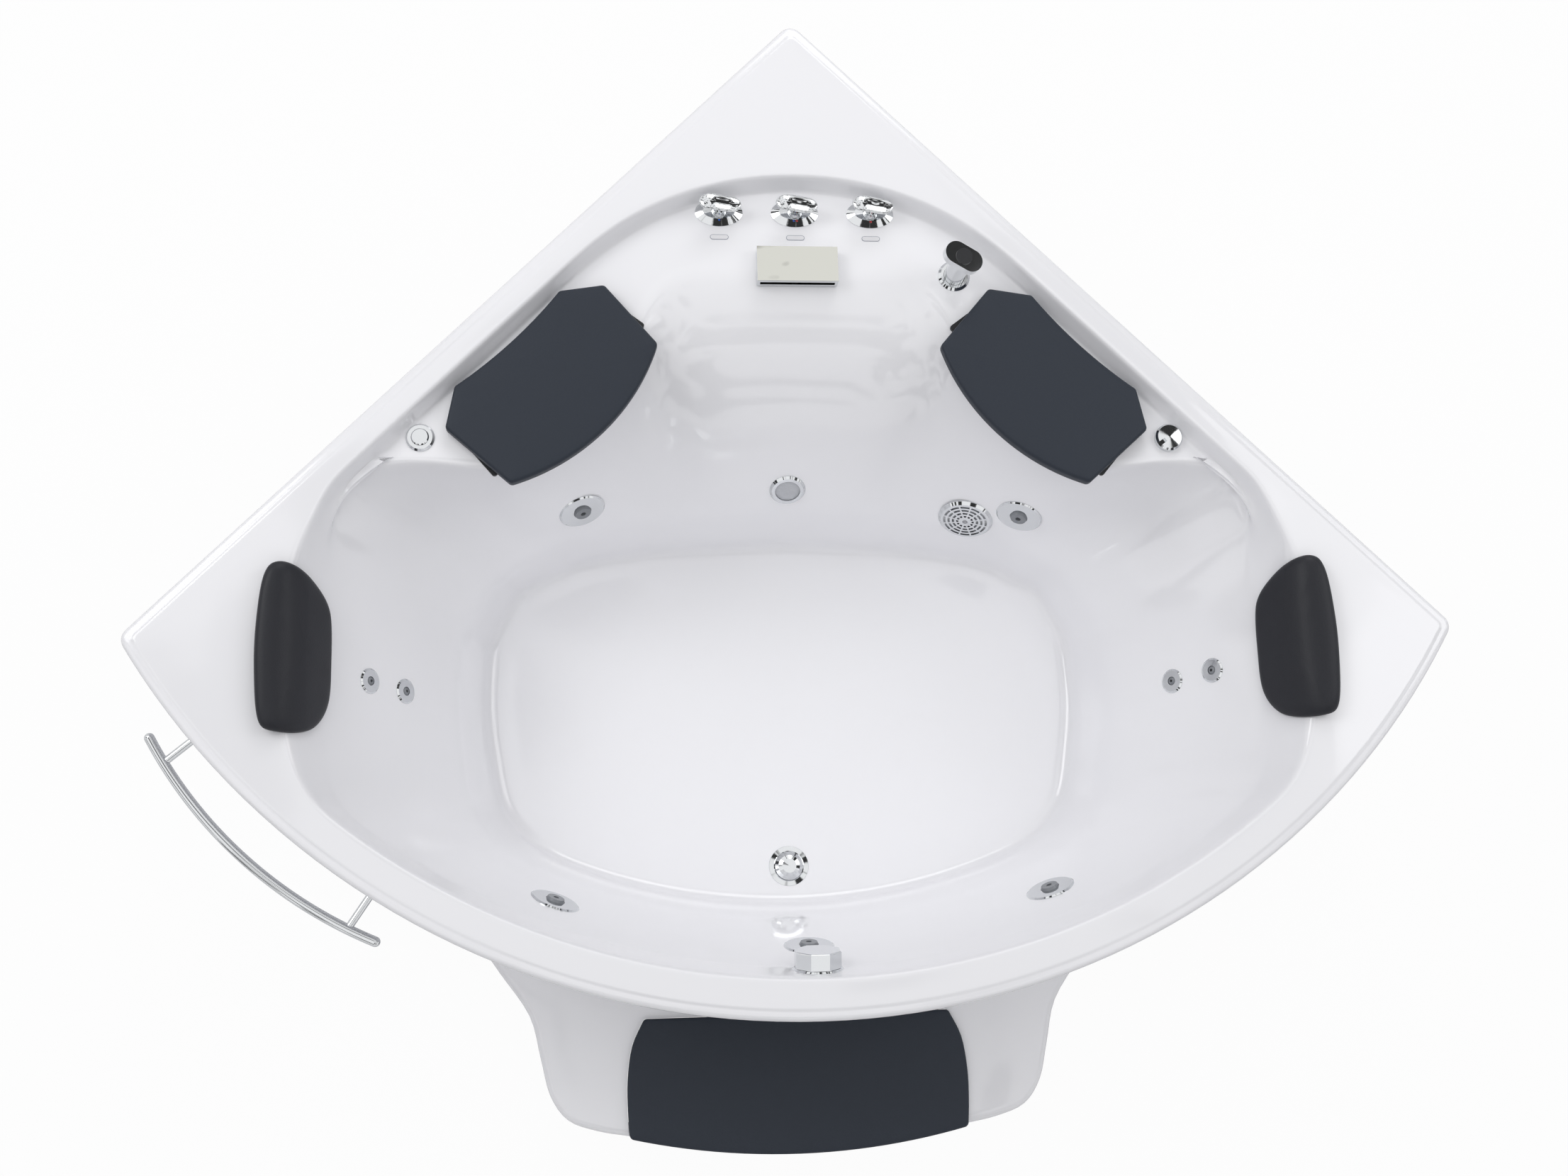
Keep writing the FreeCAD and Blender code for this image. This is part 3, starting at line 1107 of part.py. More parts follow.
copies("floor_board", board, [Placement()])

foot_places = [at(side * size.bearer_x, y, 0) for side in (-1, 1) for y in (-400, 400)]
foot_places += [at(x, y, 0) for x, y in leg_places]
foot_height = 7.0
stud = turned("stud", [("0", str(foot_height)), ("dims.foot_stud / 2", str(foot_height)),
                       ("dims.foot_stud / 2", "125"), ("11", "125"), ("11", "135"),
                       ("dims.foot_stud / 2", "135"), ("dims.foot_stud / 2", str(frame_low)),
                       ("0", str(frame_low))])
foot_positions = [Placement(place, Rotation()) for place in foot_places]
copies("foot_studs", stud, foot_positions)
foot = turned("foot", [("0", "0"), ("dims.foot_disc / 2", "0"), ("dims.foot_disc / 2", "3"),
                       ("dims.foot_disc / 2 - 6", str(foot_height)), ("0", str(foot_height))])
copies("foot_pads", foot, foot_positions)
for side in (-1, 1):
    clip = Part.makeBox(size.tube, 60, size.tube, at(side * size.bearer_x - half_tube, -588, frame_low))
    bearers.append(clip.common(round_wall(apron_inside - size.fit_gap, frame_low - 1, frame_high + 1)))
shaped("frame_bearers", Part.makeCompound(bearers))

# ---------------------------------------------------------------- pump and pipes
shelf_thick = 4.0
struts.append(Part.makeBox(290, 180, shelf_thick, at(-140, 510, frame_high)))
shaped("frame_struts", Part.makeCompound(struts))
pump_line = at(0, 600, frame_high + shelf_thick + size.pump_motor / 2 + 12)
along_x = Rotation(Vector(0, 1, 0), 90)
motor = turned("motor", [("0", "0"), ("dims.pump_motor / 2 - 10", "0"), ("dims.pump_motor / 2", "12"),
                         ("dims.pump_motor / 2", "dims.pump_length"), ("0", "dims.pump_length")])
doc.recompute()
motor_shape = motor.Shape.copy()
motor_shape.Placement = Placement(pump_line + Vector(-130, 0, 0), along_x)
for x in (-110, 20):
    foot_block = Part.makeBox(30, 90, 30, at(x, 555, frame_high + shelf_thick))
    motor_shape = motor_shape.fuse(foot_block)
shaped("pump_motor", motor_shape)
volute_length = 55.0
volute = Part.makeCylinder(66, volute_length)
volute = volute.fuse(Part.makeCylinder(size.suction_pipe / 2, 30, Vector(0, 0, volute_length)))
volute.Placement = Placement(pump_line + Vector(80, 0, 0), along_x)
outlet_base = pump_line + Vector(80 + volute_length / 2, 0, 0)
volute = volute.fuse(Part.makeCylinder(size.pressure_pipe / 2, 88, outlet_base)).removeSplitter()
shaped("pump_volute", volute)

behind_cup = suction_seat.multVec(Vector(0, 0, -size.suction_length - 23.9))
cup_direction = suction_seat.Rotation.multVec(Vector(0, 0, -1))
pump_inlet = pump_line + Vector(80 + volute_length + 30, 0, 0)
shaped("suction_hose", hose([behind_cup, behind_cup + cup_direction * 50, at(415, 560, pump_line.z),
                             pump_inlet + Vector(70, 0, 0), pump_inlet], size.suction_pipe))

pipe_level = rim_top - size.pipe_drop
pump_outlet = outlet_base + UP * 88
MANIFOLD = [(480, 480), (640, 200), (650, -150), (480, -400), (0, -510), (-480, -400), (-650, -150), (-640, 200),
            (-500, 420)]
manifold = hose([pump_outlet, pump_outlet + UP * 70, at(300, 620, pump_outlet.z + 70),
                 at(480, 480, pump_outlet.z + 70)] + [at(x, y, pipe_level) for x, y in MANIFOLD],
                size.pressure_pipe)
jet_pipes = [manifold]
JET_DROPS = {"rear_left": (-560, 337), "rear_right": (560, 340), "front_left": (-400, -419),
             "front_middle": (0, -510), "front_right": (400, -419)}
for name, place in jet_seats.items():
    port = place.multVec(Vector(0, -size.jet_body / 2 - 16, 14 - size.jet_length))
    away = place.Rotation.multVec(Vector(0, -1, 0))
    x, y = JET_DROPS[name]
    run = hose([port, port + away * 30, at(x, y, pipe_level + 60), at(x, y, pipe_level)], 24)
    jet_pipes.append(run.cut(manifold))
shaped("pressure_pipes", Part.makeCompound(jet_pipes))

# ---------------------------------------------------------------- check and write
doc.recompute()
for item in doc.Objects:
    if "Invalid" in item.State or "Error" in item.State:
        raise RuntimeError("%s did not compute: %s" % (item.Label, item.State))
os.makedirs("parts", exist_ok=True)
for item in pieces:
    if item.Shape.isNull() or not item.Shape.isValid() or not item.Shape.Solids:
        raise RuntimeError("%s has no valid solid" % item.Label)
    item.Shape.exportStep("parts/%s.step" % item.Label)
print("%d sub-parts written" % len(pieces))
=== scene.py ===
import json
import math
import bmesh
import bpy
from mathutils import Matrix, Vector


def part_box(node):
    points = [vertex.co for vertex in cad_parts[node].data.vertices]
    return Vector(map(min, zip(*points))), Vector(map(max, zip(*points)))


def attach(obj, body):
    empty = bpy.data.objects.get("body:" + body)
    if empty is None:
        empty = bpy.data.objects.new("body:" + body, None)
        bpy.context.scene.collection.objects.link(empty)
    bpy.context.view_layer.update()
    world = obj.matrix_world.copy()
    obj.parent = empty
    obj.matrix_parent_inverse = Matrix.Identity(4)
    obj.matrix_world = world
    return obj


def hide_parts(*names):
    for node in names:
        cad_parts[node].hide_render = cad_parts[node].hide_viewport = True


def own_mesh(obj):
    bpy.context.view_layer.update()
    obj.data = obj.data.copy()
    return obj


# Corner jetted bath with a front step. Plan sizes are in millimetres: x runs along the front, y is
# measured from the line that joins the two side corners of the rim, and z from the floor. `at` turns a
# place into the frame's metres.

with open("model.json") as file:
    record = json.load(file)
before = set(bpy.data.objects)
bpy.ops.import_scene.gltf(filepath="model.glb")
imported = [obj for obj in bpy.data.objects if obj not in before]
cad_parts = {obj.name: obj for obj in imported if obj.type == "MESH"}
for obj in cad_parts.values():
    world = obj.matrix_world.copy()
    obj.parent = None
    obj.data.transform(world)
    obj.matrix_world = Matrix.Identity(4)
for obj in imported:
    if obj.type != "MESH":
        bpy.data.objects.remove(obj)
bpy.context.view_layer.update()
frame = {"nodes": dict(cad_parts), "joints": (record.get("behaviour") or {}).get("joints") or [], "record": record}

# ---------------------------------------------------------------- sizes
WALL_SIDE = 1500
RIM_TOP = 650
FRONT_RADIUS = 1237
CORNER_ROUND = 22
SHELL_WALL = 5
LIP_HEIGHT = 40
HALF_DIAGONAL = WALL_SIDE / math.sqrt(2)
ARC_CENTRE = math.sqrt(FRONT_RADIUS ** 2 - HALF_DIAGONAL ** 2)
STEP_PAD_FRONT = 824
MIDDLE_Y = (HALF_DIAGONAL - CORNER_ROUND * (math.sqrt(2) - 1) - STEP_PAD_FRONT) / 2
MM = 0.001
TOLERANCE = 1e-6


def at(x, y, z):
    """A place on the bath, in the frame's metres."""
    return Vector((x, y - MIDDLE_Y, z)) * MM


# ---------------------------------------------------------------- camera
CAMERA_RISE = 2682  # above the rim
CAMERA_TURNS = (76, 24.77, -23.68)  # pitch, yaw and roll in degrees
FRAME_WIDTH, FOCAL_LENGTH = 2212, 2465  # both in the photograph's pixels
SENSOR_WIDTH = 36


def add_camera():
    """Looks steeply down on the bath from its front left, as the photograph does."""
    place = at(-321, -540, RIM_TOP + CAMERA_RISE)
    pitch, yaw, roll = (math.radians(angle) for angle in CAMERA_TURNS)
    ahead = Vector((math.sin(yaw) * math.cos(pitch), math.cos(yaw) * math.cos(pitch), -math.sin(pitch)))
    level = Vector((math.cos(yaw), -math.sin(yaw), 0))
    upward = level.cross(ahead)
    right = math.cos(roll) * level - math.sin(roll) * upward
    above = math.sin(roll) * level + math.cos(roll) * upward
    bpy.ops.object.camera_add(location=place)
    camera = bpy.context.object
    camera.name = "photo_camera"
    turn = Matrix((right, above, -ahead)).transposed()
    camera.matrix_world = Matrix.Translation(place) @ turn.to_4x4()
    camera.data.sensor_width = SENSOR_WIDTH
    camera.data.lens = SENSOR_WIDTH * FOCAL_LENGTH / FRAME_WIDTH
    camera.data.clip_end = 50
    bpy.context.scene.camera = camera


# ---------------------------------------------------------------- materials
COLOUR_A, COLOUR_B, COLOUR_OUT = 6, 7, 2  # colour sockets of a Mix node


def colour(code):
    """sRGB hex to linear."""
    parts = [int(code[i:i + 2], 16) / 255 for i in (1, 3, 5)]
    return [part / 12.92 if part <= 0.04045 else ((part + 0.055) / 1.055) ** 2.4 for part in parts] + [1.0]


def node(material, kind, settings=None, links=None):
    """Adds a node, sets its properties and sockets, and links its inputs."""
    tree = material.node_tree
    made = tree.nodes.new(kind)
    for key, value in (settings or {}).items():
        if key in made.inputs:
            made.inputs[key].default_value = value
        else:
            setattr(made, key, value)
    for key, source in (links or {}).items():
        tree.links.new(source, made.inputs[key])
    return made


def surface(name, settings):
    """A material with a plain surface shader, its settings given by socket name."""
    material = bpy.data.materials.new(name)
    material.use_nodes = True
    shader = material.node_tree.nodes["Principled BSDF"]
    for key, value in settings.items():
        shader.inputs[key].default_value = value
    return material, shader


def grain(material, shader, size, depth, detail=3.0):
    """A bump of the given grain size and depth, both in metres."""
    place = node(material, "ShaderNodeTexCoord")
    noise = node(material, "ShaderNodeTexNoise", {"Scale": 1 / size, "Detail": detail, "Roughness": 0.55},
                 {"Vector": place.outputs["Object"]})
    bump = node(material, "ShaderNodeBump", {"Distance": depth, "Strength": 1.0},
                {"Height": noise.outputs["Fac"]})
    material.node_tree.links.new(bump.outputs["Normal"], shader.inputs["Normal"])
    return noise


def mottle(material, shader, noise, first, second):
    """Colour that varies a little over the surface, following a noise."""
    blend = node(material, "ShaderNodeMix", {"data_type": "RGBA"}, {"Factor": noise.outputs["Fac"]})
    blend.inputs[COLOUR_A].default_value = colour(first)
    blend.inputs[COLOUR_B].default_value = colour(second)
    material.node_tree.links.new(blend.outputs[COLOUR_OUT], shader.inputs["Base Color"])


def cast_acrylic():
    """Thermoformed acrylic sheet: a deep even gloss whose reflections waver with the pulled sheet."""
    material, shader = surface("cast_acrylic", {"Base Color": colour("#F8F8FB"), "Roughness": 0.09,
                                                "IOR": 1.49, "Coat Weight": 0.4, "Coat Roughness": 0.03})
    grain(material, shader, 0.11, 0.0006, 1.0)
    return material


def foam_skin(name, first, second, roughness):
    """Integral-skin polyurethane foam: matt, with a leathery grain drawn at 2.5 mm, so that it shows."""
    material, shader = surface(name, {"Roughness": roughness, "IOR": 1.45, "Specular IOR Level": 0.35})
    noise = grain(material, shader, 0.0025, 0.00018, 4.0)
    mottle(material, shader, noise, first, second)
    return material


def polished_chrome(name="polished_chrome", roughness=0.05, tone="#D9DBDD", ripple=0.02, depth=0.00003):
    """Chrome plate on brass: mirror-like, with a slight orange peel or ripple from the plating."""
    material, shader = surface(name, {"Base Color": colour(tone), "Metallic": 1.0, "Roughness": roughness})
    grain(material, shader, ripple, depth, 2.0)
    return material


def moulded(name, first, second, roughness, size=0.004, depth=0.0001):
    """A moulded or printed surface with a light even texture, drawn coarser than life so that it shows."""
    material, shader = surface(name, {"Roughness": roughness, "IOR": 1.46})
    noise = grain(material, shader, size, depth)
    mottle(material, shader, noise, first, second)
    return material


def plain_metal(name, first, second, roughness, size):
    """Galvanised or brushed steel: dull metal with a spangle."""
    material, shader = surface(name, {"Metallic": 1.0, "Roughness": roughness})
    noise = grain(material, shader, size, 0.00008)
    mottle(material, shader, noise, first, second)
    return material


# white sanitary acrylic: the glossy shell, the step and the apron
ACRYLIC = cast_acrylic()
# moulded foam: matt slate seat and step pads, slightly smoother charcoal pillows
PAD_FOAM = foam_skin("slate_pad_foam", "#2A303A", "#2F353F", 0.5)
PILLOW_FOAM = foam_skin("charcoal_pillow_foam", "#222329", "#28292F", 0.42)
# plated brass: bright fittings, and the spout's polished plate that ripples what it reflects
CHROME = polished_chrome()
MIRROR = polished_chrome("mirror_steel", 0.02, "#CFCFC8", ripple=0.09, depth=0.0011)
# moulded plastics: dull housings, satin nozzles, white pressure pipe, black nylon nuts
GREY_PLASTIC = moulded("grey_abs", "#87898D", "#8F9195", 0.5)
NOZZLE_PLASTIC = moulded("satin_nozzle_abs", "#7E8186", "#8B8E93", 0.3, 0.01, 0.00004)
WHITE_PLASTIC = moulded("white_pvc_pipe", "#DCDDDD", "#E4E4E4", 0.35)
DARK_PLASTIC = moulded("black_nylon", "#17181B", "#202226", 0.4)
# moulded rubber: nearly no shine, under the feet
RUBBER = moulded("black_rubber", "#18181A", "#212123", 0.75)
# zinc-plated and hot-dip galvanised steel: grey with a spangle, coarser on the frame's tube
STEEL = plain_metal("zinc_plated_steel", "#9C9DA0", "#B0B1B4", 0.35, 0.006)
FRAME_STEEL = plain_metal("galvanised_tube", "#7F8386", "#9DA1A3", 0.45, 0.018)
# cast brass: the dull yellow of unplated valve bodies
BRASS = plain_metal("cast_brass", "#B3964F", "#C4A75F", 0.4, 0.004)
# sealed chipboard: pale brown with a coarse fleck
BOARD = moulded("sealed_chipboard", "#A58458", "#BD9C6E", 0.6, 0.006, 0.0002)
# enamel dots that mark cold and hot
MARK_BLUE = moulded("blue_enamel_dot", "#2357B8", "#2B60C4", 0.25)
MARK_RED = moulded("red_enamel_dot", "#C4252C", "#CF2F35", 0.25)
# printed label: a grey outline round a white field
LABEL_EDGE = moulded("label_outline_print", "#8E93A0", "#989DA9", 0.4)
LABEL_FIELD = moulded("label_white_print", "#ECECEF", "#F1F1F4", 0.3)
# frosted lens over the lamp: pale with a fine texture
LENS = moulded("frosted_lens", "#B9BBC0", "#C9CBD0", 0.25, 0.003, 0.0002)
MATERIAL_OF_SLOT = {"acrylic": ACRYLIC, "grey_plastic": GREY_PLASTIC, "white_plastic": WHITE_PLASTIC,
                    "dark_plastic": DARK_PLASTIC, "nozzle_plastic": NOZZLE_PLASTIC, "chrome": CHROME,
                    "label_chrome": CHROME, "mirror_metal": MIRROR, "steel": STEEL,
                    "frame_steel": FRAME_STEEL, "brass": BRASS, "rubber": RUBBER, "board": BOARD,
                    "pad_foam": PAD_FOAM, "pillow_foam": PILLOW_FOAM, "lens": LENS}


def dress_cad_nodes():
    """Gives each CAD node the material of its slot."""
    for entry in frame["record"]["subparts"]:
        part = frame["nodes"][entry["node"]]
        part.data.materials.clear()
        part.data.materials.append(MATERIAL_OF_SLOT[entry["material_slot"]])


def button_spring():
    """Gives the button's spring a mesh of its own."""
    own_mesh(frame["nodes"]["button_spring"])


# ---------------------------------------------------------------- ways of drawing
def nothing_selected():
    """Leaves edit mode and deselects everything, so that an operator acts on its own piece alone."""
    if bpy.context.object and bpy.context.object.mode != "OBJECT":
        bpy.ops.object.mode_set(mode="OBJECT")
    bpy.ops.object.select_all(action="DESELECT")


def drawn_rings(name, rings, close_first=True, close_last=True):
    """Draws the first ring as a circle, and extrudes each next ring from it and puts it in place."""
    nothing_selected()
    count = len(rings[0])
    bpy.ops.mesh.primitive_circle_add(vertices=count, fill_type="NGON" if close_first else "NOTHING")
    piece = bpy.context.object
    piece.name = name
    bpy.ops.object.mode_set(mode="EDIT")
    bpy.ops.mesh.select_mode(type="EDGE")
    mesh = bmesh.from_edit_mesh(piece.data)
    mesh.verts.ensure_lookup_table()
    current = list(mesh.verts)
    for vertex, point in zip(current, rings[0]):
        vertex.co = point
    for ring in rings[1:]:
        for element in list(mesh.faces) + list(mesh.edges) + list(mesh.verts):
            element.select = False
        for vertex, following in zip(current, current[1:] + current[:1]):
            edge = mesh.edges.get((vertex, following))
            edge.select = True
        mesh.select_flush_mode()
        bmesh.update_edit_mesh(piece.data)
        bpy.ops.mesh.extrude_edges_move()
        mesh = bmesh.from_edit_mesh(piece.data)
        drawn = set(current)
        moved = []
        for vertex, point in zip(current, ring):
            others = [edge.other_vert(vertex) for edge in vertex.link_edges]
            fresh = [other for other in others if other.select and other not in drawn]
            new = vertex if vertex.select else fresh[0]
            new.co = point
            moved.append(new)
        current = moved
    if close_last:
        bpy.ops.mesh.fill_holes(sides=count)
    bpy.ops.mesh.select_all(action="SELECT")
    bpy.ops.mesh.normals_make_consistent(inside=False)
    bpy.ops.object.mode_set(mode="OBJECT")
    return piece


def only(piece):
    """Makes one piece the selected and active one."""
    nothing_selected()
    piece.select_set(True)
    bpy.context.view_layer.objects.active = piece


def modified(piece, kind, **settings):
    """Adds a modifier and applies it."""
    only(piece)
    modifier = piece.modifiers.new(kind.lower(), kind)
    for key, value in settings.items():
        setattr(modifier, key, value)
    bpy.ops.object.modifier_apply(modifier=modifier.name)
    return piece


def smoothed(piece, levels):
    """Subdivides a drawn piece into a smooth one."""
    return modified(piece, "SUBSURF", levels=levels, render_levels=levels)


def softly_shaded(piece, degrees):
    """Shades smoothly over edges that are flatter than the angle."""
    only(piece)
    bpy.ops.object.shade_smooth_by_angle(angle=math.radians(degrees))
    return piece


def joined(piece, other):
    """Makes two pieces one, under the first one's name."""
    only(other)
    piece.select_set(True)
    bpy.context.view_layer.objects.active = piece
    bpy.ops.object.join()
    return piece


def cut_away(piece, cutter):
    """Takes the cutter's space out of the piece."""
    modified(piece, "BOOLEAN", operation="DIFFERENCE", solver="EXACT", object=cutter)
    bpy.data.objects.remove(cutter)


def dressed(piece, material, body, *nodes):
    """Gives a finished piece its material, its body and the CAD nodes that it stands for."""
    piece.data.materials.clear()
    piece.data.materials.append(material)
    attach(piece, body)
    if nodes:
        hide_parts(*nodes)
    return piece


def inset(points, distance):
    """A closed plan outline moved inwards by distance."""
    result = []
    area = sum(a[0] * b[1] - b[0] * a[1] for a, b in zip(points, points[1:] + points[:1]))
    side = 1 if area > 0 else -1
    for i, point in enumerate(points):
        before, after = points[i - 1], points[(i + 1) % len(points)]
        along = Vector((after[0] - before[0], after[1] - before[1])).normalized()
        result.append((point[0] - along.y * distance * side, point[1] + along.x * distance * side))
    return result


def shrunk(points, share):
    """A closed plan outline drawn in towards its middle."""
    middle_x = sum(point[0] for point in points) / len(points)
    middle_y = sum(point[1] for point in points) / len(points)
    return [(middle_x + (x - middle_x) * share, middle_y + (y - middle_y) * share) for x, y in points]


def arc_points(first, through, last, count):
    """Points from first to last on the circle through three plan points, without last."""
    (ax, ay), (bx, by), (cx, cy) = first, through, last
    double_area = 2 * (ax * (by - cy) + bx * (cy - ay) + cx * (ay - by))
    a, b, c = ax * ax + ay * ay, bx * bx + by * by, cx * cx + cy * cy
    centre_x = (a * (by - cy) + b * (cy - ay) + c * (ay - by)) / double_area
    centre_y = (a * (cx - bx) + b * (ax - cx) + c * (bx - ax)) / double_area
    radius = math.hypot(ax - centre_x, ay - centre_y)
    start, middle, end = (math.atan2(y - centre_y, x - centre_x) for x, y in (first, through, last))
    turn = (end - start) % (2 * math.pi)
    if (middle - start) % (2 * math.pi) > turn:
        turn -= 2 * math.pi
    angles = [start + turn * i / count for i in range(count)]
    return [(centre_x + radius * math.cos(angle), centre_y + radius * math.sin(angle)) for angle in angles]


def straight_points(first, last, count):
    """Evenly spaced points from first to last, without last."""
    return [(first[0] + (last[0] - first[0]) * i / count, first[1] + (last[1] - first[1]) * i / count)
            for i in range(count)]


def curve_points(p0, p1, p2, p3, steps):
    """Points of a smooth curve from p1 to p2, led by p0 and p3, without p2."""
    points = []
    for step in range(steps):
        t = step / steps
        points.append(tuple(0.5 * (2 * p1 + (p2 - p0) * t + (2 * p0 - 5 * p1 + 4 * p2 - p3) * t ** 2
                                   + (3 * p1 - p0 - 3 * p2 + p3) * t ** 3)))
    return points


def smooth_closed(points, steps):
    """A closed curve that passes smoothly through the points."""
    result = []
    count = len(points)
    for i in range(count):
        result += curve_points(*(Vector(points[(i + k) % count]) for k in (-1, 0, 1, 2)), steps)
    return result


def smooth_open(points, steps):
    """A curve through the points from the first to the last, without the last."""
    places = [Vector(point) for point in points]
    places = [2 * places[0] - places[1]] + places + [2 * places[-1] - places[-2]]
    result = []
    for i in range(1, len(places) - 2):
        result += curve_points(*places[i - 1:i + 3], steps)
    return result


def quarter_round(radius):
    """(gap, drop) steps of a rounded upper edge, from just above its foot to its crest."""
    turns = [share * math.pi / 2 for share in (0.2, 0.4, 0.6, 0.8, 1.0)]
    return [(radius * (1 - math.cos(turn)), radius * (1 - math.sin(turn))) for turn in turns]


CORNER_STEPS = 8


def rounded_corners(points, radius, places):
    """Rounds the sharp corners of a closed outline: at each listed place and at the first point."""
    result = []
    for i, point in enumerate(points):
        if i not in places and i != 0:
            result.append(point)
            continue
        here = Vector(point)
        back = (Vector(points[i - 1]) - here).normalized()
        forth = (Vector(points[(i + 1) % len(points)]) - here).normalized()
        half = (back + forth).normalized()
        lean = math.acos(max(-1, min(1, back.dot(forth)))) / 2
        run = radius / math.tan(lean)
        centre = here + half * (radius / math.sin(lean))
        first, last = here + back * run, here + forth * run
        from_centre, to_centre = first - centre, last - centre
        sweep = from_centre.angle_signed(to_centre)
        for step in range(CORNER_STEPS + 1):
            turned = from_centre.copy()
            turned.rotate(Matrix.Rotation(-sweep * step / CORNER_STEPS, 2))
            result.append(tuple(centre + turned))
    return result


def flipped(points):
    """The same outline on the other side of the bath."""
    return [(-x, y) for x, y in reversed(points)]


# ---------------------------------------------------------------- bath shell
# places and depths of the basin's levels: rim, edge of the side ledge, seat ledge and floor
BASIN_MIDDLE = -60
HALF_BASIN, HALF_LEDGE, HALF_FLOOR, HALF_RECESS = 817, 576, 534, 228
WALL_RIM, FRONT_RIM, APEX_ROUND = 51, 62, 514
DECK_DROP, SIDE_DROP, LEDGE_DROP, FLOOR_DROP = 35, 75, 325, 455
DECK_TOP = RIM_TOP - DECK_DROP
LEDGE_FRONT, FLOOR_FRONT, FLOOR_BACK, LEDGE_BACK = 164, 199, 247, 283
DECK_FRONT, SHOULDER_X, RECESS_BACK = 286, 500, 602
FRONT_LEAN = 18
# places of the fittings, and the radii of their holes in the shell
TAP_LINE, TAP_SPACING, TAP_HOLE = 722, 128, 15.5
SHOWER_X, SHOWER_Y, SHOWER_HOLE = 267, 612, 22
AIR_X, AIR_Y, AIR_HOLE = 615, 326, 17
WASTE_Y, WASTE_HOLE = -339, 24
SMALL_JET_PLACES, SMALL_JET_HOLE = [(702, -46.5, 494), (652.5, -53, 429)], 9
NOZZLE_HOLE, OVERFLOW_HOLE = 22, 16
HOLE_SIDES, DRILL_LENGTH = 40, 50
BORDER_LINE = HALF_DIAGONAL - WALL_RIM * math.sqrt(2)
BORDER_ARC_Y = BORDER_LINE - APEX_ROUND * math.sqrt(2)
RIM_RADIUS = FRONT_RADIUS - FRONT_RIM
EDGE_RADIUS = RIM_RADIUS - FRONT_LEAN
LEDGE_RADIUS = FRONT_RADIUS - LEDGE_FRONT
FLOOR_RADIUS = FRONT_RADIUS - FLOOR_FRONT


def on_front(radius, x):
    """The place at x on a front curve of the given radius."""
    return (x, ARC_CENTRE - math.sqrt(radius ** 2 - x ** 2))


def on_border(x):
    """The place at x on the inner line of the border along the wall."""
    return (x, BORDER_LINE - x)


# outline of each level: front radius, corner points of the right half, round border at the back
RIM = (RIM_RADIUS, [on_front(RIM_RADIUS, HALF_BASIN - 30), (HALF_BASIN + 5, -55), (HALF_BASIN - 9, 105),
                    on_border(HALF_BASIN - 68), on_border(APEX_ROUND / math.sqrt(2))], True)
EDGE = (EDGE_RADIUS, [on_front(EDGE_RADIUS, HALF_BASIN - 76), (HALF_BASIN - 49, -55), (HALF_BASIN - 62, 85),
                      (HALF_BASIN - 80, DECK_FRONT - 20), (HALF_BASIN - 130, DECK_FRONT),
                      (SHOULDER_X + 80, DECK_FRONT), (SHOULDER_X, DECK_FRONT - 26), (SHOULDER_X - 80, 302),
                      (SHOULDER_X - 154, 362), (HALF_RECESS + 62, 432), (HALF_RECESS + 24, 519),
                      (HALF_RECESS - 4, RECESS_BACK - 12), (HALF_RECESS - 50, RECESS_BACK),
                      (0, RECESS_BACK)], False)
LEDGE = (LEDGE_RADIUS, [on_front(LEDGE_RADIUS, HALF_LEDGE - 74), (HALF_LEDGE - 18, -230), (HALF_LEDGE, -60),
                        (HALF_LEDGE - 8, 60), (HALF_LEDGE - 64, 165), (400, LEDGE_BACK - 51),
                        (240, LEDGE_BACK - 15), (0, LEDGE_BACK)], False)
FLOOR = (FLOOR_RADIUS, [on_front(FLOOR_RADIUS, HALF_FLOOR - 82), (HALF_FLOOR - 28, -225), (HALF_FLOOR, -60),
                        (HALF_FLOOR - 6, 70), (HALF_FLOOR - 54, 160), (380, FLOOR_BACK - 35),
                        (240, FLOOR_BACK - 11), (0, FLOOR_BACK)], False)
# ribs of the right half, from straight ahead to straight back, closer together where the outline bends
RIB_ANGLES = [-90, -76, -62, -50, -40, -32, -25, -19, -14, -9, -3, 3, 8, 13, 17, 20, 22.5, 25,
              28, 31, 34, 38, 43, 48, 54, 60, 65, 69, 72.5, 77, 83, 90]


def reach(outline, angle):
    """How far an outline is from the basin's middle in the direction of angle, in degrees."""
    radius, corners, round_back = outline
    dx, dy = math.cos(math.radians(angle)), math.sin(math.radians(angle))
    for (ax, ay), (bx, by) in zip(corners, corners[1:]):
        ay, by = ay - BASIN_MIDDLE, by - BASIN_MIDDLE
        start, end = dx * ay - dy * ax, dx * by - dy * bx
        if start <= 0 < end or (start < 0 and abs(end) < TOLERANCE):
            share = start / (start - end)
            return math.hypot(ax + (bx - ax) * share, ay + (by - ay) * share)
    at_back = round_back and angle > 0
    centre = (BORDER_ARC_Y if at_back else ARC_CENTRE) - BASIN_MIDDLE
    radius = APEX_ROUND if at_back else radius
    along = centre * dy
    return along + math.sqrt(along ** 2 - centre ** 2 + radius ** 2)


def ease(low, high, value):
    """0 below low, 1 above high, smooth between."""
    share = min(max((value - low) / (high - low), 0), 1)
    return share * share * (3 - 2 * share)


def mix(first, second, share):
    """A value that lies the given share of the way from first to second."""
    return first + (second - first) * share


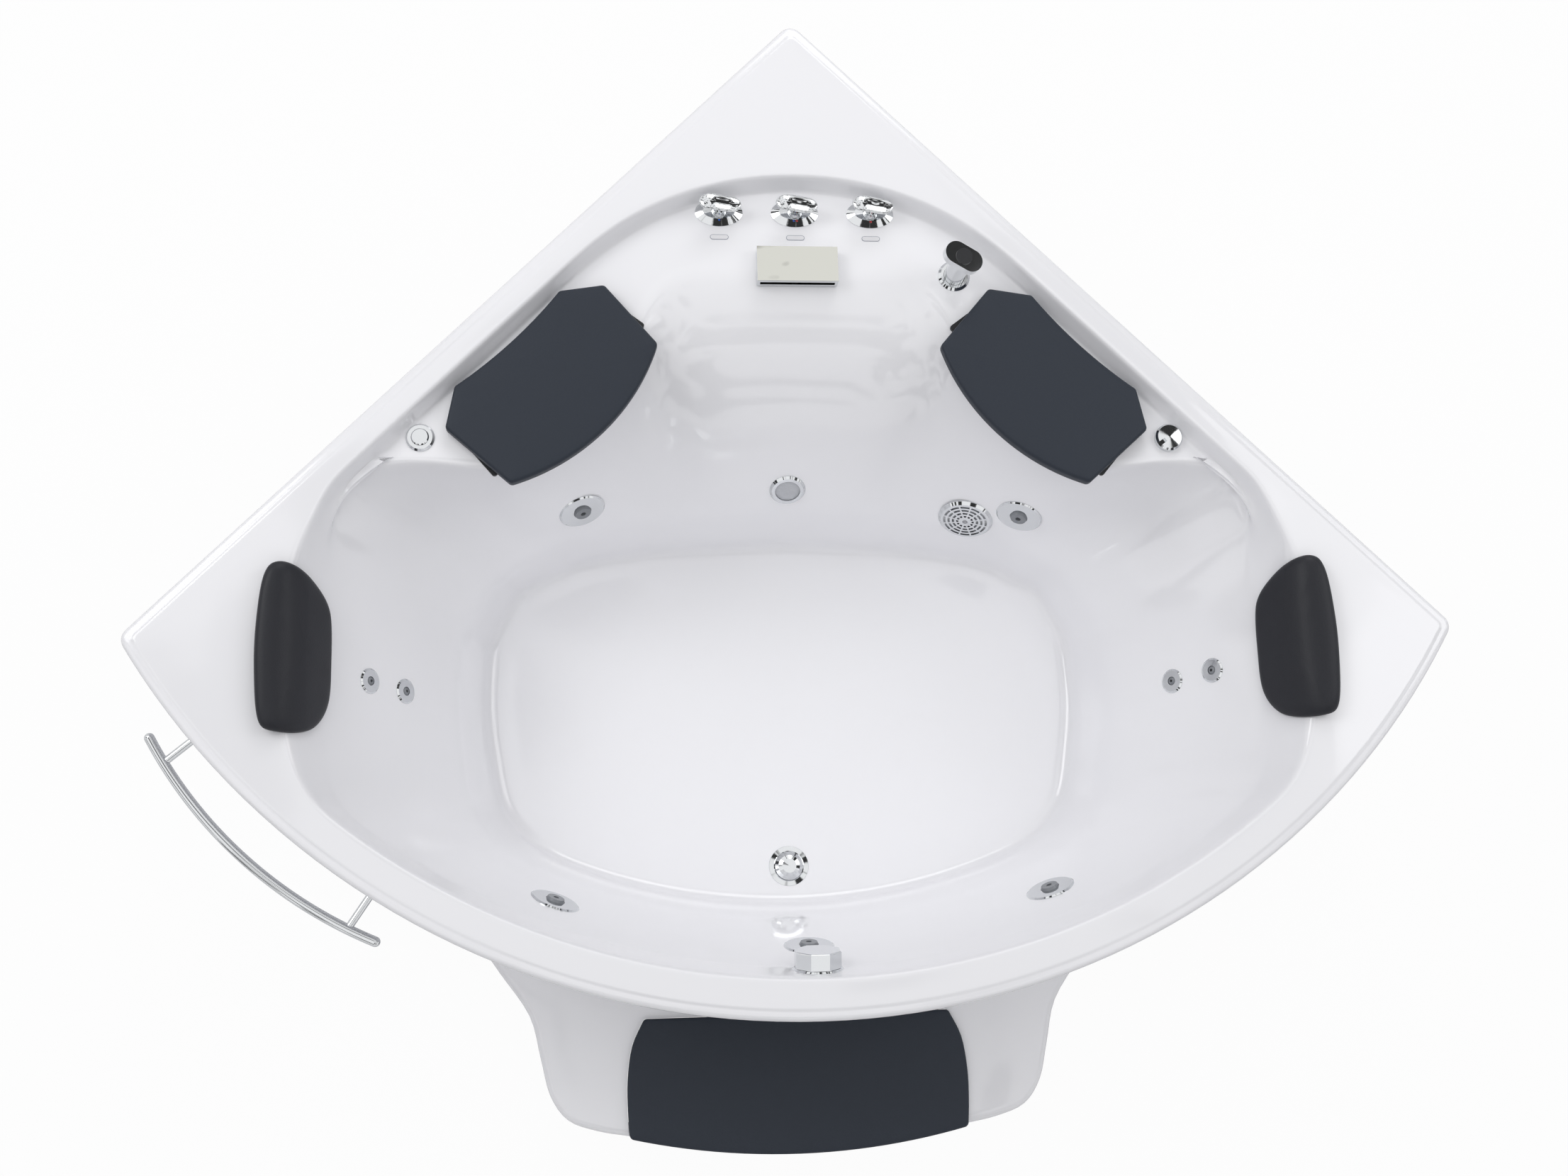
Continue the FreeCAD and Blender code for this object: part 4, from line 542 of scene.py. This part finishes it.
def rib(angle):
    """Points (distance, drop below the rim) down one rib of the basin, and on over its floor."""
    rim, edge, ledge, well = (reach(outline, angle) for outline in (RIM, EDGE, LEDGE, FLOOR))
    deck = ease(16, 24, angle)  # 0 beside the basin, where a ledge slopes down, and 1 at the level deck
    edge_drop = mix(SIDE_DROP, DECK_DROP, deck)
    points = [(rim + 20, 0), (rim + 8, 0), (rim, 0)]
    step_run, support = 8, 22  # run of the step from border to deck, and of the points that hold its bends
    on_deck = [rim - step_run, rim - 2 * step_run, rim - step_run - support, edge + support, edge]
    for share, distance in zip((0.25, 0.45, 0.65, 0.85, 1), on_deck):
        points.append((mix(mix(rim, edge, share), distance, deck), mix(SIDE_DROP * share, DECK_DROP, deck)))
    # the wall is hollowed a little below the pads, and comes forward in a gentle slope below the recess
    bulge = mix(mix(1, 1.35, ease(26, 34, angle)), 0.55, ease(56, 72, angle))
    for share in (0.1, 0.3, 0.5, 0.7, 0.9, 1):
        points.append((mix(edge, ledge, share ** bulge), mix(edge_drop, LEDGE_DROP, share)))
    for share in (0.4, 0.8, 1):
        points.append((mix(ledge, well, share), mix(LEDGE_DROP, FLOOR_DROP, share)))
    for distance in (well - 45, well * 0.72, well * 0.4, well * 0.15):
        points.append((distance, FLOOR_DROP))
    return points


def basin_rings():
    """The basin's levels, from inside the rim down to the middle of the floor."""
    ribs = [(angle, rib(angle)) for angle in RIB_ANGLES]
    ribs += [(180 - angle, points) for angle, points in reversed(ribs[1:-1])]
    rings = []
    for level in range(len(ribs[0][1])):
        ring = []
        for angle, points in ribs:
            distance, drop = points[level]
            turn = math.radians(angle)
            ring.append(at(distance * math.cos(turn), BASIN_MIDDLE + distance * math.sin(turn),
                           RIM_TOP - drop))
        rings.append(ring)
    return rings


FRONT_POINTS, SIDE_POINTS = 72, 18


def rim_outline(gap):
    """The plan outline of the rim moved in by gap: the curved front, then the two straight wall sides."""
    radius, side = FRONT_RADIUS - gap, HALF_DIAGONAL - gap * math.sqrt(2)
    half_sum = (side - ARC_CENTRE) / 2
    corner_x = half_sum + math.sqrt((radius ** 2 - (side - ARC_CENTRE) ** 2 / 2) / 2)
    corner = (corner_x, side - corner_x)
    other = (-corner[0], corner[1])
    rounding = CORNER_ROUND - min(gap, CORNER_ROUND / 2)
    front = arc_points(other, (0, ARC_CENTRE - radius), corner, FRONT_POINTS) + [corner]
    right = straight_points(corner, (0, side), SIDE_POINTS)[1:] + [(0, side)]
    left = straight_points((0, side), other, SIDE_POINTS)[1:]
    return rounded_corners(front + right + left, rounding, [FRONT_POINTS, FRONT_POINTS + SIDE_POINTS])


def fitting_holes():
    """(place, radius, upright) of every hole that a fitting needs, places in metres."""
    holes = [(at(x, TAP_LINE, DECK_TOP), TAP_HOLE, True) for x in (-TAP_SPACING, 0, TAP_SPACING)]
    holes.append((at(SHOWER_X, SHOWER_Y, DECK_TOP), SHOWER_HOLE, True))
    holes += [(at(side * AIR_X, AIR_Y, DECK_TOP), AIR_HOLE, True) for side in (-1, 1)]
    holes.append((at(0, WASTE_Y, RIM_TOP - FLOOR_DROP), WASTE_HOLE, True))
    for joint in frame["joints"]:
        if joint["name"].startswith("aim_"):
            holes.append((Vector(joint["pos_m"]), NOZZLE_HOLE, False))
    holes += [(at(side * x, y, z), SMALL_JET_HOLE, False) for side in (-1, 1) for x, y, z in SMALL_JET_PLACES]
    low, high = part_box("overflow_plate")
    holes.append(((low + high) / 2, OVERFLOW_HOLE, False))
    return holes


def drilled(piece):
    """Cuts the fittings' holes square to the skin."""
    cutters = []
    for place, radius, upright in fitting_holes():
        spot, normal = piece.closest_point_on_mesh(place)[1:3]
        axis = Vector((0, 0, 1)) if upright else normal
        nothing_selected()
        bpy.ops.mesh.primitive_cylinder_add(vertices=HOLE_SIDES, radius=radius * MM, depth=DRILL_LENGTH * MM)
        cutter = bpy.context.object
        turn = axis.to_track_quat("Z", "Y").to_matrix()
        cutter.matrix_world = Matrix.Translation(spot) @ turn.to_4x4()
        cutters.append(cutter)
    nothing_selected()
    for cutter in cutters:
        cutter.select_set(True)
    bpy.context.view_layer.objects.active = cutters[0]
    bpy.ops.object.join()
    cut_away(piece, cutters[0])


# (gap from the outer edge, drop below the rim) of the rolled lip, from its bead over the edge and down
LIP_PROFILE = [(21, 0), (19, 0.1), (17, 0.9), (15, 1.7), (13, 1.9), (8.5, 2.0), (5, 2.7), (2.4, 4.4),
               (0.7, 7.2), (0, 11), (0, LIP_HEIGHT)]


def bath_shell():
    """The formed sheet: the basin's skin bridged to the rolled lip, given its wall and drilled."""
    basin = smoothed(drawn_rings("bath_shell_skin", basin_rings(), close_first=False), 2)
    rings = [[at(x, y, RIM_TOP - drop) for x, y in rim_outline(gap)] for gap, drop in LIP_PROFILE]
    lip = drawn_rings("lip", rings, close_first=False, close_last=False)
    joined(basin, lip)
    bpy.ops.object.mode_set(mode="EDIT")
    bpy.ops.mesh.select_mode(type="EDGE")
    bpy.ops.mesh.select_all(action="DESELECT")
    mesh = bmesh.from_edit_mesh(basin.data)
    level = RIM_TOP * MM
    for edge in mesh.edges:
        if edge.is_boundary and all(abs(vertex.co.z - level) < TOLERANCE for vertex in edge.verts):
            edge.select = True
    mesh.select_flush_mode()
    bmesh.update_edit_mesh(basin.data)
    bpy.ops.mesh.bridge_edge_loops()
    bpy.ops.mesh.select_all(action="SELECT")
    bpy.ops.mesh.normals_make_consistent(inside=False)
    bpy.ops.object.mode_set(mode="OBJECT")
    top = max(basin.data.polygons, key=lambda face: face.center.z)
    thickness = SHELL_WALL * MM
    modified(basin, "SOLIDIFY", thickness=thickness, offset=-1 if top.normal.z > 0 else 1)
    drilled(basin)
    softly_shaded(basin, 40)
    return dressed(basin, ACRYLIC, "bath", "bath_shell")


# ---------------------------------------------------------------- soft pads
FOOT_GAP, FOOT_SHARE = 2, 0.3
FOOT_STEPS = [(0.5, 2), (0, 5)]  # (gap, rise) of the slab's slightly rounded lower edge
CROWN_SHARES = (0.9, 0.72, 0.5, 0.25)


def foam_slab(name, outline, low, thick, crown, rounding):
    """A closed crowned slab of foam on a plan outline, softly rounded at its upper edge."""
    top = low + thick
    foot = inset(outline, FOOT_GAP)
    rings = [(shrunk(foot, FOOT_SHARE), low), (foot, low)]
    rings += [(inset(outline, gap), low + rise) for gap, rise in FOOT_STEPS]
    rings.append((outline, top - rounding))
    rings += [(inset(outline, gap), top - drop) for gap, drop in quarter_round(rounding)]
    rings += [(shrunk(inset(outline, rounding), share), top + crown * (1 - share ** 2))
              for share in CROWN_SHARES]
    return drawn_rings(name, [[at(x, y, z) for x, y in points] for points, z in rings])


PAD_CORNERS = [(393, 570), (320, 581), (234, 480), (470, 243), (574, 335), (560, 405)]
PAD_FRONT, PAD_BACK = (322, 333), (477, 475)
# heights of a pad's spacer, foam and crown, and the foam's clearance below and above
PAD_BASE, PAD_THICK, PAD_CROWN, PAD_LIFT, PAD_SPARE = 5, 25, 3, 0.3, 0.5
PAD_ROUND, PAD_EDGE = 9, 6


def rear_pad_outline():
    """The right pad's six corners in plan, with a hollow front and a bowed back between them."""
    one, two, three, four, five, six = PAD_CORNERS
    sides = [straight_points(one, two, 8), straight_points(two, three, 10),
             arc_points(three, PAD_FRONT, four, 24), straight_points(four, five, 10),
             straight_points(five, six, 8), arc_points(six, PAD_BACK, one, 18)]
    corners = [sum(len(side) for side in sides[:i]) for i in range(1, len(sides))]
    return rounded_corners(sum(sides, []), PAD_ROUND, corners)


def rear_pads():
    """The two seat pads on the deck beside the taps."""
    outline = rear_pad_outline()
    for name, points in (("rear_pad_right", outline), ("rear_pad_left", flipped(outline))):
        pad = foam_slab(name + "_foam", points, DECK_TOP + PAD_BASE + PAD_LIFT,
                        PAD_THICK - PAD_CROWN - PAD_SPARE, PAD_CROWN, PAD_EDGE)
        softly_shaded(pad, 60)
        dressed(pad, PAD_FOAM, "bath", name)


# (x, height above the rim) of the pillow's middle line, from the border over the edge and down the wall
PILLOW_LINE = [(852, 15), (838, 16), (824, 15), (812, 10), (802, 0), (790, -16), (778, -34), (765, -54),
               (751, -76)]
# (run along that line, y) round the pillow, narrower at its outer end
PILLOW_EDGE = [(30, 113), (10, 90), (1, 12), (1, -60), (9, -134), (32, -151), (80, -149), (116, -134),
               (140, -96), (143, -30), (141, 30), (132, 60), (108, 84), (70, 106)]
# (share of the outline, share of the half thickness), from the hidden side round the edge to the crown
PILLOW_LEVELS = [(0.35, -1.0), (0.8, -1.0), (0.93, -0.85), (0.985, -0.45), (1.0, 0.05), (0.985, 0.5),
                 (0.93, 0.84), (0.84, 0.97), (0.65, 1.04), (0.4, 1.08), (0.15, 1.1)]
PILLOW_HALF_OUTER, PILLOW_HALF_INNER = 13.6, 9.5


def along_line(distance):
    """The place on the pillow's bent middle line at a distance from its outer end, and its upward normal."""
    left = distance
    for (ax, az), (bx, bz) in zip(PILLOW_LINE, PILLOW_LINE[1:]):
        run = math.hypot(bx - ax, bz - az)
        if left <= run or (bx, bz) == PILLOW_LINE[-1]:
            share = left / run
            normal = Vector((bz - az, ax - bx)).normalized()
            spot = Vector((ax + (bx - ax) * share, az + (bz - az) * share))
            return spot, -normal if normal.y < 0 else normal
        left -= run


def pillows():
    """The two neck pillows, bent over the sides of the basin."""
    edge = smooth_closed(PILLOW_EDGE, 4)
    for name, side in (("pillow_right", 1), ("pillow_left", -1)):
        rings = []
        for share, height in PILLOW_LEVELS:
            ring = []
            for u, y in shrunk(edge, share):
                place, normal = along_line(max(u, 0))
                half = mix(PILLOW_HALF_OUTER, PILLOW_HALF_INNER, ease(60, 140, u))
                point = place + normal * half * height
                ring.append(at(side * point.x, y, RIM_TOP + point.y))
            rings.append(ring)
        pillow = softly_shaded(smoothed(drawn_rings(name + "_foam", rings), 2), 60)
        dressed(pillow, PILLOW_FOAM, "bath", name)


# ---------------------------------------------------------------- step
# the right side of the step in plan, from the apron to where the bowed front begins
STEP_SIDE = [(543, -459), (506, -512), (456, -584), (437, -655),
             (421, -716), (391, -757), (342, -776), (290, -786)]
STEP_TOP, STEP_WALL, STEP_FRONT, STEP_ROUND = 258, 5, 816, 12
STEP_PAD_SIDE = [(262, -595), (283, -640), (291, -695), (291, -745), (288, -790)]
STEP_PAD_THICK, STEP_PAD_SINK, STEP_PAD_CROWN, STEP_PAD_EDGE = 24, 12, 1.2, 5
STEP_PAD_LIFT, STEP_PAD_SPARE = 0.2, 1.5
SEAT_GAP, SEAT_CLEAR = 0.6, 10
APRON_RADIUS, APRON_GAP = FRONT_RADIUS - 14, 0.3
STEP_FRONT_POINTS, PAD_BACK_POINTS, BACK_POINTS = 24, 20, 30
SEAM_RAMP = 50


def step_outline():
    """The step in plan: right side, bowed front, left side, and last the curve along the apron."""
    side = smooth_open(STEP_SIDE, 4)
    last = STEP_SIDE[-1]
    left = [(-x, y) for x, y in reversed(side)]
    front = arc_points(last, (0, -STEP_FRONT), (-last[0], last[1]), STEP_FRONT_POINTS)
    end = (-STEP_SIDE[0][0], STEP_SIDE[0][1])
    back = arc_points(end, (0, ARC_CENTRE - APRON_RADIUS - APRON_GAP), (-end[0], end[1]), BACK_POINTS)
    return side + front + [(-last[0], last[1])] + left[:-1] + back


def step_pad_outline():
    """The step's pad in plan: right side, bowed front, left side and straight back."""
    first, last = STEP_PAD_SIDE[0], STEP_PAD_SIDE[-1]
    side = smooth_open(STEP_PAD_SIDE, 4)
    left = [(-x, y) for x, y in reversed(side)]
    front = arc_points(last, (0, -STEP_PAD_FRONT), (-last[0], last[1]), STEP_FRONT_POINTS)
    back = straight_points((-first[0], first[1]), first, PAD_BACK_POINTS)
    points = side + front + [(-last[0], last[1])] + left[:-1] + back
    corners = [len(side), len(side + front), len(side + front + left)]
    return rounded_corners(points, PAD_ROUND, corners)


def step_ring(outline, gap, z):
    """The step's outline moved in by gap, but not where it meets the apron."""
    ends = (Vector(outline[0]), Vector(outline[-BACK_POINTS]))
    inner = inset(outline, gap)
    ring = []
    for i, point in enumerate(outline):
        to_end = min((Vector(point) - end).length for end in ends)
        share = 0 if i >= len(outline) - BACK_POINTS else min(1, to_end / SEAM_RAMP)
        ring.append(at(mix(point[0], inner[i][0], share), mix(point[1], inner[i][1], share), z))
    return ring


def step_body():
    """The white step: a moulded skin with rounded upper edges and a seat for its pad."""
    outline = step_outline()
    levels = [(0, STEP_TOP), (0, STEP_ROUND)] + quarter_round(STEP_ROUND)
    rings = [step_ring(outline, gap, STEP_TOP - drop) for gap, drop in levels]
    step = drawn_rings("step_skin", rings, close_first=False)
    modified(step, "SOLIDIFY", thickness=STEP_WALL * MM, offset=-1)
    around = inset(step_pad_outline(), -SEAT_GAP)
    seat_levels = (STEP_TOP - STEP_PAD_SINK, STEP_TOP + SEAT_CLEAR)
    cut_away(step, drawn_rings("step_seat", [[at(x, y, z) for x, y in around] for z in seat_levels]))
    softly_shaded(step, 40)
    dressed(step, ACRYLIC, "bath", "step_body")


def step_pad():
    """The foam pad that stands in the step's seat."""
    low = STEP_TOP - STEP_PAD_SINK
    pad = foam_slab("step_pad_foam", step_pad_outline(), low + STEP_PAD_LIFT,
                    STEP_PAD_THICK - STEP_PAD_SPARE, STEP_PAD_CROWN, STEP_PAD_EDGE)
    softly_shaded(pad, 60)
    dressed(pad, PAD_FOAM, "bath", "step_pad")


# ---------------------------------------------------------------- tap handles
HANDLE_WIDTH, HANDLE_DEPTH = 74, 30
HALF_STATIONS, HANDLE_POINTS, HUB_POINTS = 8, 16, 32
CREST_HEIGHT, CREST_SWING, CREST_CURL, CREST_SINK = 17, 6.5, 2.2, 6
CREST_HALF, TIP_HALF = 3.6, 0.8  # half thickness in the middle beyond that at the tips
HUB_LOW, HUB_RISE = 8.4, 18
HUB_FOOT, HUB_WAIST, HUB_HEAD = 12.9, 11, 12.5
PLATE_TOP = DECK_TOP - 0.8
SPINDLE, SPINDLE_DEPTH = 5, 43
DOT_RADIUS, DOT_AHEAD, DOT_RISE, DOT_OFFSET = 1.6, 18.2, 11.6, 2.6
LABEL_HALF_RUN, LABEL_ROUND, LABEL_AHEAD = 11, 4.4, 44


def wave(share):
    """Rise of the handle's crest, from its high left end to its low right end."""
    return CREST_HEIGHT + CREST_SWING * math.sin(-2.3 * share + 0.35) + CREST_CURL * share ** 2


def ellipse(x, y, z, half_width, half_height, points, upright=False):
    """A ring of points round a place, level or standing across the bath."""
    turns = [2 * math.pi * k / points for k in range(points)]
    if upright:
        return [at(x, y + half_width * math.cos(turn), z + half_height * math.sin(turn)) for turn in turns]
    return [at(x + half_width * math.cos(turn), y + half_height * math.sin(turn), z) for turn in turns]


def tap_handle(name, x):
    """A swept wave of cast metal over a waisted hub, which stands on its spindle."""
    rings = []
    for step in range(2 * HALF_STATIONS + 1):
        share = -1 + step / HALF_STATIONS
        end = math.sqrt(max(1 - share ** 4, 0.02))
        rings.append(ellipse(x + share * (HANDLE_WIDTH / 2 - 1), TAP_LINE,
                             PLATE_TOP + HUB_LOW + HUB_RISE + wave(share) - CREST_SINK,
                             HANDLE_DEPTH / 2 * end, CREST_HALF * end + TIP_HALF, HANDLE_POINTS,
                             upright=True))
    crest = smoothed(drawn_rings(name + "_handle", rings), 1)
    hub_profile = [(SPINDLE, -SPINDLE_DEPTH), (SPINDLE, HUB_LOW - 0.1), (HUB_FOOT, HUB_LOW),
                   (HUB_FOOT, HUB_LOW + 3), (HUB_WAIST, HUB_LOW + 7), (HUB_WAIST, HUB_LOW + 16),
                   (HUB_HEAD, HUB_LOW + HUB_RISE + 11)]
    hub_rings = [ellipse(x, TAP_LINE, PLATE_TOP + z, radius, radius, HUB_POINTS) for radius, z in hub_profile]
    joined(crest, drawn_rings(name + "_hub", hub_rings))
    softly_shaded(crest, 50)
    return dressed(crest, CHROME, name, name)


def tap_dot(knob, tone, enamel, x):
    """A small enamel bead in front of a tap's hub."""
    nothing_selected()
    bpy.ops.mesh.primitive_uv_sphere_add(segments=16, ring_count=8, radius=DOT_RADIUS * MM,
                                         location=at(x, TAP_LINE - DOT_AHEAD, PLATE_TOP + DOT_RISE))
    dot = bpy.context.object
    dot.name = knob + "_dot_" + tone
    bpy.ops.object.transform_apply(location=True, rotation=True, scale=True)
    softly_shaded(dot, 60)
    return dressed(dot, enamel, knob)


def tap_handles():
    """Cold, selector and hot: blue marks cold, red marks hot, and the selector has both."""
    blue, red = ("blue", MARK_BLUE), ("red", MARK_RED)
    dots = {"knob_cold": [(0, blue)], "knob_selector": [(-DOT_OFFSET, blue), (DOT_OFFSET, red)],
            "knob_hot": [(0, red)]}
    for (name, marks), x in zip(dots.items(), (-TAP_SPACING, 0, TAP_SPACING)):
        tap_handle(name, x)
        for offset, (tone, enamel) in marks:
            tap_dot(name, tone, enamel, x + offset)


def tap_labels():
    """Outlined capsules in front of the taps: a thin grey edge round a white field."""
    for index, x in enumerate((-TAP_SPACING, 0, TAP_SPACING)):
        outer = []
        for end, start in ((LABEL_HALF_RUN, -90), (-LABEL_HALF_RUN, 90)):
            turns = [math.radians(start + 15 * k) for k in range(13)]
            outer += [(x + end + LABEL_ROUND * math.cos(turn),
                       TAP_LINE - LABEL_AHEAD + LABEL_ROUND * math.sin(turn)) for turn in turns]
        edge_rings = [[at(px, py, DECK_TOP + z) for px, py in inset(outer, gap)]
                      for gap, z in ((0, 0), (0, 0.7), (0.5, 0.8))]
        edge = drawn_rings("tap_label_%d" % index, edge_rings)
        dressed(edge, LABEL_EDGE, "bath", *(["tap_labels"] if index == 0 else []))
        field_rings = [[at(px, py, DECK_TOP + z) for px, py in inset(outer, 0.7)] for z in (0.3, 0.85)]
        field = drawn_rings("tap_label_field_%d" % index, field_rings)
        dressed(field, LABEL_FIELD, "bath")


# ---------------------------------------------------------------- studio
ROOM_LOW, ROOM_HIGH = (0.32, 0.32, 0.33, 1), (1.0, 1.0, 1.0, 1)
ROOM_TONES = ((0.16, 0.10), (0.34, 0.30), (0.48, 0.86))  # (height up the room, tone)
PAPER_WHITE = 0.94  # share of plain white in the floor as the camera sees it
SOFTBOXES = (("key_softbox", (-2.6, 1.2, 3.4), 1.6, 26),  # name, place, size and power
             ("fill_softbox", (2.6, 0.8, 3.2), 1.6, 14),
             ("back_softbox", (0.5, 3.0, 2.6), 1.4, 14))
LAMP_TARGET = (0, 0, 0.4)


def room_light():
    """A white cyclorama as the camera sees it. It is lit by a room with a bright ceiling, darker panels and a
    dark band of wall round the horizon, and shiny pieces reflect a ceiling with dark winding streaks."""
    world = bpy.data.worlds.new("studio_white")
    bpy.context.scene.world = world
    world.use_nodes = True
    background = world.node_tree.nodes["Background"]
    background.inputs["Strength"].default_value = 1.0
    place = node(world, "ShaderNodeTexCoord")
    parts = node(world, "ShaderNodeSeparateXYZ", {}, {"Vector": place.outputs["Generated"]})
    level = node(world, "ShaderNodeValToRGB", {}, {"Fac": parts.outputs["Z"]})
    ramp = level.color_ramp
    ramp.elements[0].position, ramp.elements[0].color = 0.0, ROOM_LOW
    ramp.elements[1].position, ramp.elements[1].color = 1.0, ROOM_HIGH
    for position, tone in ROOM_TONES:
        element = ramp.elements.new(position)
        element.color = (tone, tone, tone * 1.02, 1)
    panels = node(world, "ShaderNodeTexNoise", {"Scale": 2.1, "Detail": 1.0, "Roughness": 0.3},
                  {"Vector": place.outputs["Generated"]})
    contrast = node(world, "ShaderNodeMapRange",
                    {"From Min": 0.42, "From Max": 0.56, "To Min": 0.45, "To Max": 1.0},
                    {"Value": panels.outputs["Fac"]})
    shade = node(world, "ShaderNodeMix", {"data_type": "RGBA", "blend_type": "MULTIPLY"})
    shade.inputs["Factor"].default_value = 1.0
    world.node_tree.links.new(level.outputs["Color"], shade.inputs[COLOUR_A])
    world.node_tree.links.new(contrast.outputs["Result"], shade.inputs[COLOUR_B])
    world.node_tree.links.new(shade.outputs[COLOUR_OUT], background.inputs["Color"])
    streaks = node(world, "ShaderNodeTexNoise",
                   {"Scale": 3.4, "Detail": 2.0, "Roughness": 0.4, "Distortion": 1.5},
                   {"Vector": place.outputs["Generated"]})
    edged = node(world, "ShaderNodeMapRange",
                 {"From Min": 0.42, "From Max": 0.48, "To Min": 0.04, "To Max": 1.1},
                 {"Value": streaks.outputs["Fac"]})
    reflected = node(world, "ShaderNodeBackground", {"Strength": 1.0}, {"Color": edged.outputs["Result"]})
    seen = node(world, "ShaderNodeBackground", {"Color": (1, 1, 1, 1), "Strength": 1.0})
    path = node(world, "ShaderNodeLightPath")
    around = node(world, "ShaderNodeMixShader", {},
                  {0: path.outputs["Is Glossy Ray"], 1: background.outputs[0], 2: reflected.outputs[0]})
    choice = node(world, "ShaderNodeMixShader", {},
                  {0: path.outputs["Is Camera Ray"], 1: around.outputs[0], 2: seen.outputs[0]})
    world.node_tree.links.new(choice.outputs[0], world.node_tree.nodes["World Output"].inputs["Surface"])


def studio_floor():
    """White paper that stays white to the camera and keeps a trace of the shadow."""
    nothing_selected()
    bpy.ops.mesh.primitive_plane_add(size=14, location=(0, 0, 0))
    floor = bpy.context.object
    floor.name = "studio_floor"
    material, shader = surface("floor_paper", {"Base Color": colour("#F4F4F5"), "Roughness": 0.9})
    white = node(material, "ShaderNodeEmission", {"Strength": 1.0})
    path = node(material, "ShaderNodeLightPath")
    share = node(material, "ShaderNodeMath", {"operation": "MULTIPLY"}, {0: path.outputs["Is Camera Ray"]})
    share.inputs[1].default_value = PAPER_WHITE
    blend = node(material, "ShaderNodeMixShader", {},
                 {0: share.outputs[0], 1: shader.outputs[0], 2: white.outputs[0]})
    output = material.node_tree.nodes["Material Output"]
    material.node_tree.links.new(blend.outputs[0], output.inputs["Surface"])
    floor.data.materials.append(material)


def softboxes():
    """Three square lamps above the bath."""
    for name, place, size, power in SOFTBOXES:
        nothing_selected()
        bpy.ops.object.light_add(type="AREA", location=place)
        lamp = bpy.context.object
        lamp.name = name
        lamp.data.size = size
        lamp.data.energy = power
        aim = Vector(LAMP_TARGET) - Vector(place)
        lamp.rotation_euler = aim.to_track_quat("-Z", "Y").to_euler()


bpy.context.scene.view_settings.view_transform = "Standard"
add_camera()
room_light()
studio_floor()
softboxes()
dress_cad_nodes()
bath_shell()
rear_pads()
pillows()
step_body()
step_pad()
tap_handles()
tap_labels()
button_spring()
